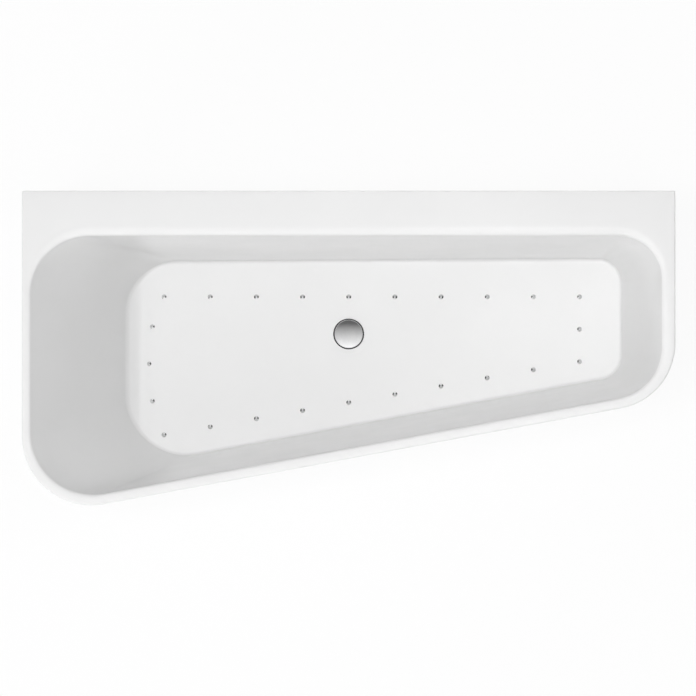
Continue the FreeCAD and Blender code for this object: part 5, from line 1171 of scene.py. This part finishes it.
def fan_unit():
    """Fluted fan housing with its spout, cover with a stepped inlet and its screws, and the motor can with
    cooling flutes."""
    inner = FAN_RADIUS - FAN_WALL
    base = [[SHAFT_HOLE, FAN_LOW], [BOSS_BORE, FAN_LOW], [BOSS_BORE, BOSS_LOW], [BOSS_RADIUS, BOSS_LOW],
            [BOSS_RADIUS, FAN_LOW], [FAN_RADIUS, FAN_LOW], *([FAN_RADIUS, z] for z in (136, 138, 170, 172)),
            [FAN_RADIUS, FAN_HIGH], [inner, FAN_HIGH], [inner, FAN_FLOOR], [SHAFT_HOLE, FAN_FLOOR]]
    ease = [0.5, 0.5, 0.5, 0.5, 1, 4, 0.5, 0.5, 0.5, 0.5, 0.8, 0.8, 3, 0.5]
    shell = closed_turn(base, BLOWER_SPOT, ease, 240, steps=4, flutes=FAN_FLUTES)
    pipe = [[SPOUT_BORE, SPOUT_START], [FEED_RADIUS, SPOUT_START], [FEED_RADIUS, SPOUT_END - 2],
            [FEED_RADIUS - 0.6, SPOUT_END], [SPOUT_BORE, SPOUT_END]]
    spout = closed_turn(pipe, (FEED_X, 0, BLOWER_Z), 0.4, 48, "y")
    rib = [[-0.5, -7], [1.6, -7], [FAN_BAND, -5], [FAN_BAND, -2], [1.6, 0], [-0.5, 0]]
    band = closed_turn(np.array(rib) + [FAN_RADIUS, FAN_HIGH], BLOWER_SPOT, 0.5, 128)
    piece("fan_housing", [shell, spout, band], "black_plastic", "blower_base")
    cover = [[INLET, FAN_HIGH], [FAN_RADIUS, FAN_HIGH], [FAN_RADIUS, LID_TOP - 1], [FAN_RADIUS - 1, LID_TOP],
             [60, LID_TOP], [58.5, LID_GROOVE], [56, LID_GROOVE], [54.5, LID_TOP], [INLET + 8, LID_TOP],
             [INLET + 6, LID_BEAD], [INLET + 1.5, LID_BEAD], [INLET, LID_BEAD - 1]]
    piece("fan_cover", [closed_turn(cover, BLOWER_SPOT, 0.5, 128)], "black_plastic", "blower_cover")
    turn = np.radians((np.arange(LID_SCREWS) + 0.5) * 360 / LID_SCREWS)
    around = LID_SCREW_REACH * np.stack([np.cos(turn), np.sin(turn)], axis=-1)
    heads = [pan_head((*(BLOWER + spot), LID_TOP), LID_SCREW_HEAD, LID_SCREW_HEIGHT) for spot in around]
    piece("cover_pan_heads", heads, "zinc_steel", "cover_screws")
    inner, bottom = CAN_RADIUS - CAN_WALL, CAN_LOW + CAN_WALL
    can = [[0, CAN_LOW], [CAN_RADIUS - 6, CAN_LOW], [CAN_RADIUS, CAN_LOW + 4],
           *([CAN_RADIUS, z] for z in CAN_LEVELS), [CAN_RADIUS, CAN_HIGH], [inner, CAN_HIGH], [inner, bottom],
           [0, bottom]]
    profile = eased(can, [0, 2, 3, *(0.5 for z in CAN_LEVELS), 0.6, 0.5, 1, 0], 4)
    motor = turned(profile, BLOWER_SPOT, 288, flutes=CAN_FLUTES)
    piece("motor_can", [motor], "motor_paint", "motor_case")


SHELF_HALF, SHELF_BACK, SHELF_FRONT, SHELF_HOLE = 70.0, 118.0, 35.0, 49.0
SHELF_LOW, SHELF_HIGH = RAIL_TOP, RAIL_TOP + 3
MOUNT_STEP, MOUNT_BORE, MOUNT_RADIUS, MOUNT_WAIST = 42.0, 3.2, 9.0, 7.4
BOLT_HEAD, BOLT_HEIGHT = 5.0, 4.0


def blower_seat():
    """The shelf under the blower, four waisted rubber mounts and their bolts from below."""
    left, right = BLOWER[0] - SHELF_HALF, BLOWER[0] + SHELF_HALF
    front = behind_row(RAIL_GAP, BLOWER[0]) - SHELF_FRONT
    corners = [[left, front], [right, front], [right, SHELF_BACK], [left, SHELF_BACK]]
    plate = holed_plate(corners, BLOWER, SHELF_HOLE, SHELF_LOW, SHELF_HIGH, 0.6, 6.0)
    piece("blower_shelf", [plate], "zinc_steel", "blower_tray")
    steps = (MOUNT_STEP, -MOUNT_STEP)
    places = [(BLOWER[0] + x, BLOWER[1] + y, 0) for x in steps for y in steps]
    low, high = SHELF_HIGH, FAN_LOW
    rubber = [[MOUNT_BORE, low], [MOUNT_RADIUS, low], [MOUNT_RADIUS, low + 2], [MOUNT_WAIST, low + 3.2],
              [MOUNT_WAIST, high - 3.2], [MOUNT_RADIUS, high - 2], [MOUNT_RADIUS, high], [MOUNT_BORE, high]]
    bush = closed_turn(rubber, ORIGIN, 0.6, 40)
    piece("blower_mounts", repeated(bush, places), "rubber", "blower_bushes")
    bolt = pan_head((0, 0, SHELF_LOW), BOLT_HEAD, BOLT_HEIGHT, down=True)
    piece("blower_bolts", repeated(bolt, places), "zinc_steel", "blower_screws")


BOX_LOW, BOX_HIGH, BOX_CORNER = np.array([-728.0, 40.0]), np.array([-636.0, 112.0]), 5.0
BOX_WALL, BOX_TOP, BOX_LID = 2.5, 169.0, 172.0
BOX_SCREW, BOX_SCREW_HEAD, BOX_SCREW_HEIGHT = 5.0, 2.75, 2.0


def control_unit():
    """Control box with an open top, its lid with a raised edge, and the lid's screws."""
    pole, bottom = (BOX_HIGH - BOX_LOW).min() / 2, SHELF_HIGH + BOX_WALL
    wall = [[pole, SHELF_HIGH], [0, SHELF_HIGH], [0, BOX_TOP], [BOX_WALL, BOX_TOP], [BOX_WALL, bottom],
            [pole, bottom]]
    lid = [[pole, BOX_TOP], [0, BOX_TOP], [0, BOX_LID - 0.8], [0.8, BOX_LID], [9, BOX_LID],
           [10, BOX_LID - 0.5], [pole, BOX_LID - 0.5]]
    for name, node, profile, reach in (("control_case", "control_box", wall, 1.0),
                                       ("control_case_lid", "control_lid", lid, 0.4)):
        piece(name, [boxed(BOX_LOW, BOX_HIGH, BOX_CORNER, profile, reach)], "grey_plastic", node)
    (left, front), (right, back) = BOX_LOW + BOX_SCREW, BOX_HIGH - BOX_SCREW
    places = [(x, y, 0) for x in (left, right) for y in (front, back)]
    head = pan_head((0, 0, BOX_LID), BOX_SCREW_HEAD, BOX_SCREW_HEIGHT)
    piece("lid_pan_heads", repeated(head, places), "zinc_steel", "lid_screws")


# Camera, floor and light

CAMERA = (-0.0018, 0.0, 6.08)
LENS = 116.26
SENSOR = 36.0


def photo_camera():
    """Camera straight over the bath, with the wall side at the top of the picture."""
    eye = bpy.data.cameras.new("camera")
    eye.lens = LENS
    eye.sensor_width = SENSOR
    eye.clip_end = 100.0
    holder = bpy.data.objects.new("camera", eye)
    holder.location = CAMERA
    bpy.context.scene.collection.objects.link(holder)
    bpy.context.scene.camera = holder


def stage_sheet(name, corners, material):
    """A flat sheet that belongs to the studio."""
    mesh = bpy.data.meshes.new(name)
    mesh.from_pydata(corners, [], [(0, 1, 2, 3)])
    mesh.materials.append(material)
    sheet = bpy.data.objects.new(name, mesh)
    bpy.context.scene.collection.objects.link(sheet)
    return sheet


def stage_material(name):
    """An empty material of the studio, its nodes and the object's coordinates."""
    material = bpy.data.materials.new(name)
    material.use_nodes = True
    tree = material.node_tree
    tree.nodes.clear()
    return material, tree, wire(tree, "ShaderNodeTexCoord").outputs["Object"]


def seen_white(tree):
    """One for rays that come from the camera, from gloss or through glass, zero for other rays."""
    path = wire(tree, "ShaderNodeLightPath").outputs
    seen = math_of(tree, "MAXIMUM", path["Is Camera Ray"], path["Is Glossy Ray"])
    return math_of(tree, "MAXIMUM", seen, path["Is Transmission Ray"])


FLOOR_GREY, FLOOR_REACH, FLOOR_LOW = 0.86, 9.0, -0.0005
FLOOR_CLEAR = 0.93
CLEAR_START, CLEAR_END = 0.9, 3.0


def pale_floor():
    """Pale floor that lights the part and takes its shadow. Where it is seen, most of it is clear and shows
    the white world behind, all of it further away and from below, so a foot screwed out shows too."""
    material, tree, place = stage_material("studio_floor")
    paint = wire(tree, "ShaderNodeBsdfDiffuse", {"Color": rgba(FLOOR_GREY)}).outputs[0]
    clear = wire(tree, "ShaderNodeBsdfTransparent").outputs[0]
    away = wire(tree, "ShaderNodeVectorMath", {0: place}, operation="LENGTH").outputs["Value"]
    clearness = ranged(tree, away, CLEAR_START, CLEAR_END, FLOOR_CLEAR, 1.0)
    seen = math_of(tree, "MULTIPLY", seen_white(tree), clearness)
    back = wire(tree, "ShaderNodeNewGeometry").outputs["Backfacing"]
    share = math_of(tree, "MAXIMUM", seen, back)
    both = wire(tree, "ShaderNodeMixShader", {0: share, 1: paint, 2: clear}).outputs[0]
    wire(tree, "ShaderNodeOutputMaterial", {"Surface": both})
    turns = ((-1, -1), (1, -1), (1, 1), (-1, 1))
    corners = [(FLOOR_REACH * x, FLOOR_REACH * y, FLOOR_LOW) for x, y in turns]
    stage_sheet("studio_floor", corners, material)


def area_lamp(name, spot, aim, size, watts):
    """Soft lamp that neither the camera nor polished metal shows."""
    lamp = bpy.data.lights.new(name, "AREA")
    lamp.shape = "RECTANGLE"
    lamp.size, lamp.size_y = size
    lamp.energy = watts
    holder = bpy.data.objects.new(name, lamp)
    holder.location = spot
    way = np.asarray(aim, float) - np.asarray(spot, float)
    flat = math.hypot(way[0], way[1])
    turn = math.atan2(way[0], -way[1]) + math.pi if flat else 0
    holder.rotation_euler = (math.atan2(flat, -way[2]), 0, turn)
    holder.visible_camera = False
    holder.visible_glossy = False
    bpy.context.scene.collection.objects.link(holder)


# Each lamp has its place, what it is aimed at, its width and height, and its watts.
WORLD_LIGHT = 0.2
LAMPS = [
    ("top_lamp", (-1.3, 0.0, 6.8), (-0.5, 0, 0.0), (1.2, 1.2), 220.0),
    ("front_left_lamp", (-2.6, -2.6, 3.6), (0, 0, 0.3), (2.4, 2.4), 25.0),
    ("low_left_lamp", (-3.1, -3.1, 1.9), (0, 0, 0.5), (2.4, 0.9), 37.6),
    ("front_lamp", (0.0, -4.2, 1.9), (0, 0, 0.5), (3.0, 0.9), 18.0),
    ("back_lamp", (0.0, 4.2, 1.9), (0, 0, 0.5), (3.0, 0.9), 10.9),
    ("narrow_end_lamp", (0.62, 0.0, 2.6), (0.66, 0, 0.3), (0.5, 0.8), 10.8),
    ("low_back_lamp", (0.0, 4.2, 0.3), (0, 0, 0.28), (5.0, 0.5), 38.0),
    ("low_narrow_lamp", (4.6, 0.0, 0.3), (0, 0, 0.28), (3.0, 0.5), 24.0),
    ("under_lamp", (0.0, 0.0, -3.0), (0, 0, 0), (3.0, 2.0), 20.0),
]


def studio_light():
    """White world that lights softly, and a few large lamps."""
    world = bpy.data.worlds.new("studio")
    world.use_nodes = True
    tree = world.node_tree
    light = ranged(tree, seen_white(tree), 0.0, 1.0, WORLD_LIGHT, 1.0)
    tree.links.new(light, tree.nodes["Background"].inputs["Strength"])
    tree.nodes["Background"].inputs["Color"].default_value = rgba(1)
    bpy.context.scene.world = world
    for lamp in LAMPS:
        area_lamp(*lamp)


CARD_Z, CARD_X, CARD_Y = 4.0, 2.1, 2.6
CARD_SHADE = (-1.6, 1.35, 1.2, 0.15)
FLAG_X, FLAG_REACH, FLAG_LOW = 3.2, 2.4, 2.2
FLAGS = {"right_flag": (1, 0.02), "left_flag": (-1, 0.06)}


def mirror_card(name, near, far, reach, shade):
    """Card that only polished metal shows, between two lines along Y, each given by its X and Z; its shade is
    worked out from the place along Y."""
    material, tree, place = stage_material(name)
    along = wire(tree, "ShaderNodeSeparateXYZ", {0: place}).outputs["Y"]
    glow = wire(tree, "ShaderNodeEmission", {"Strength": ranged(tree, along, *shade)}).outputs[0]
    wire(tree, "ShaderNodeOutputMaterial", {"Surface": glow})
    (x, z), (far_x, far_z) = near, far
    corners = [(x, -reach, z), (x, reach, z), (far_x, reach, far_z), (far_x, -reach, far_z)]
    card = stage_sheet(name, corners, material)
    card.visible_camera = False
    card.visible_diffuse = False
    card.visible_shadow = False
    card.visible_transmission = False


def mirror_cards():
    """A card over the bath, white towards the front and dark towards the wall, and a dark flag from its
    edge down at each end."""
    mirror_card("top_card", (-CARD_X, CARD_Z), (CARD_X, CARD_Z), CARD_Y, CARD_SHADE)
    for name, (side, dark) in FLAGS.items():
        mirror_card(name, (side * CARD_X, CARD_Z), (side * FLAG_X, FLAG_LOW), FLAG_REACH,
                    (-FLAG_REACH, FLAG_REACH, 2 * dark, dark))


bath_shell()
apron()
drain_fittings()
trap()
air_jets()
air_pipes()
hangers()
valve()
base_frame()
levelling_feet()
apron_angles()
fan_unit()
blower_seat()
control_unit()
dress("rubber", "drain_cap_seal", "drain_upper_gasket", "drain_lower_gasket", "valve_disc")
dress("chrome", "drain_stem")
dress("zinc_steel", "wall_brackets")
dress("black_plastic", "impeller", "lead_grommets")
dress("rotor_metal", "motor_rotor", "motor_stator", "blower_shaft", "motor_bearings")
dress("circuit", "control_board")
dress("lead_sleeve", "motor_lead")
photo_camera()
pale_floor()
studio_light()
mirror_cards()
bpy.context.scene.view_settings.view_transform = "Standard"
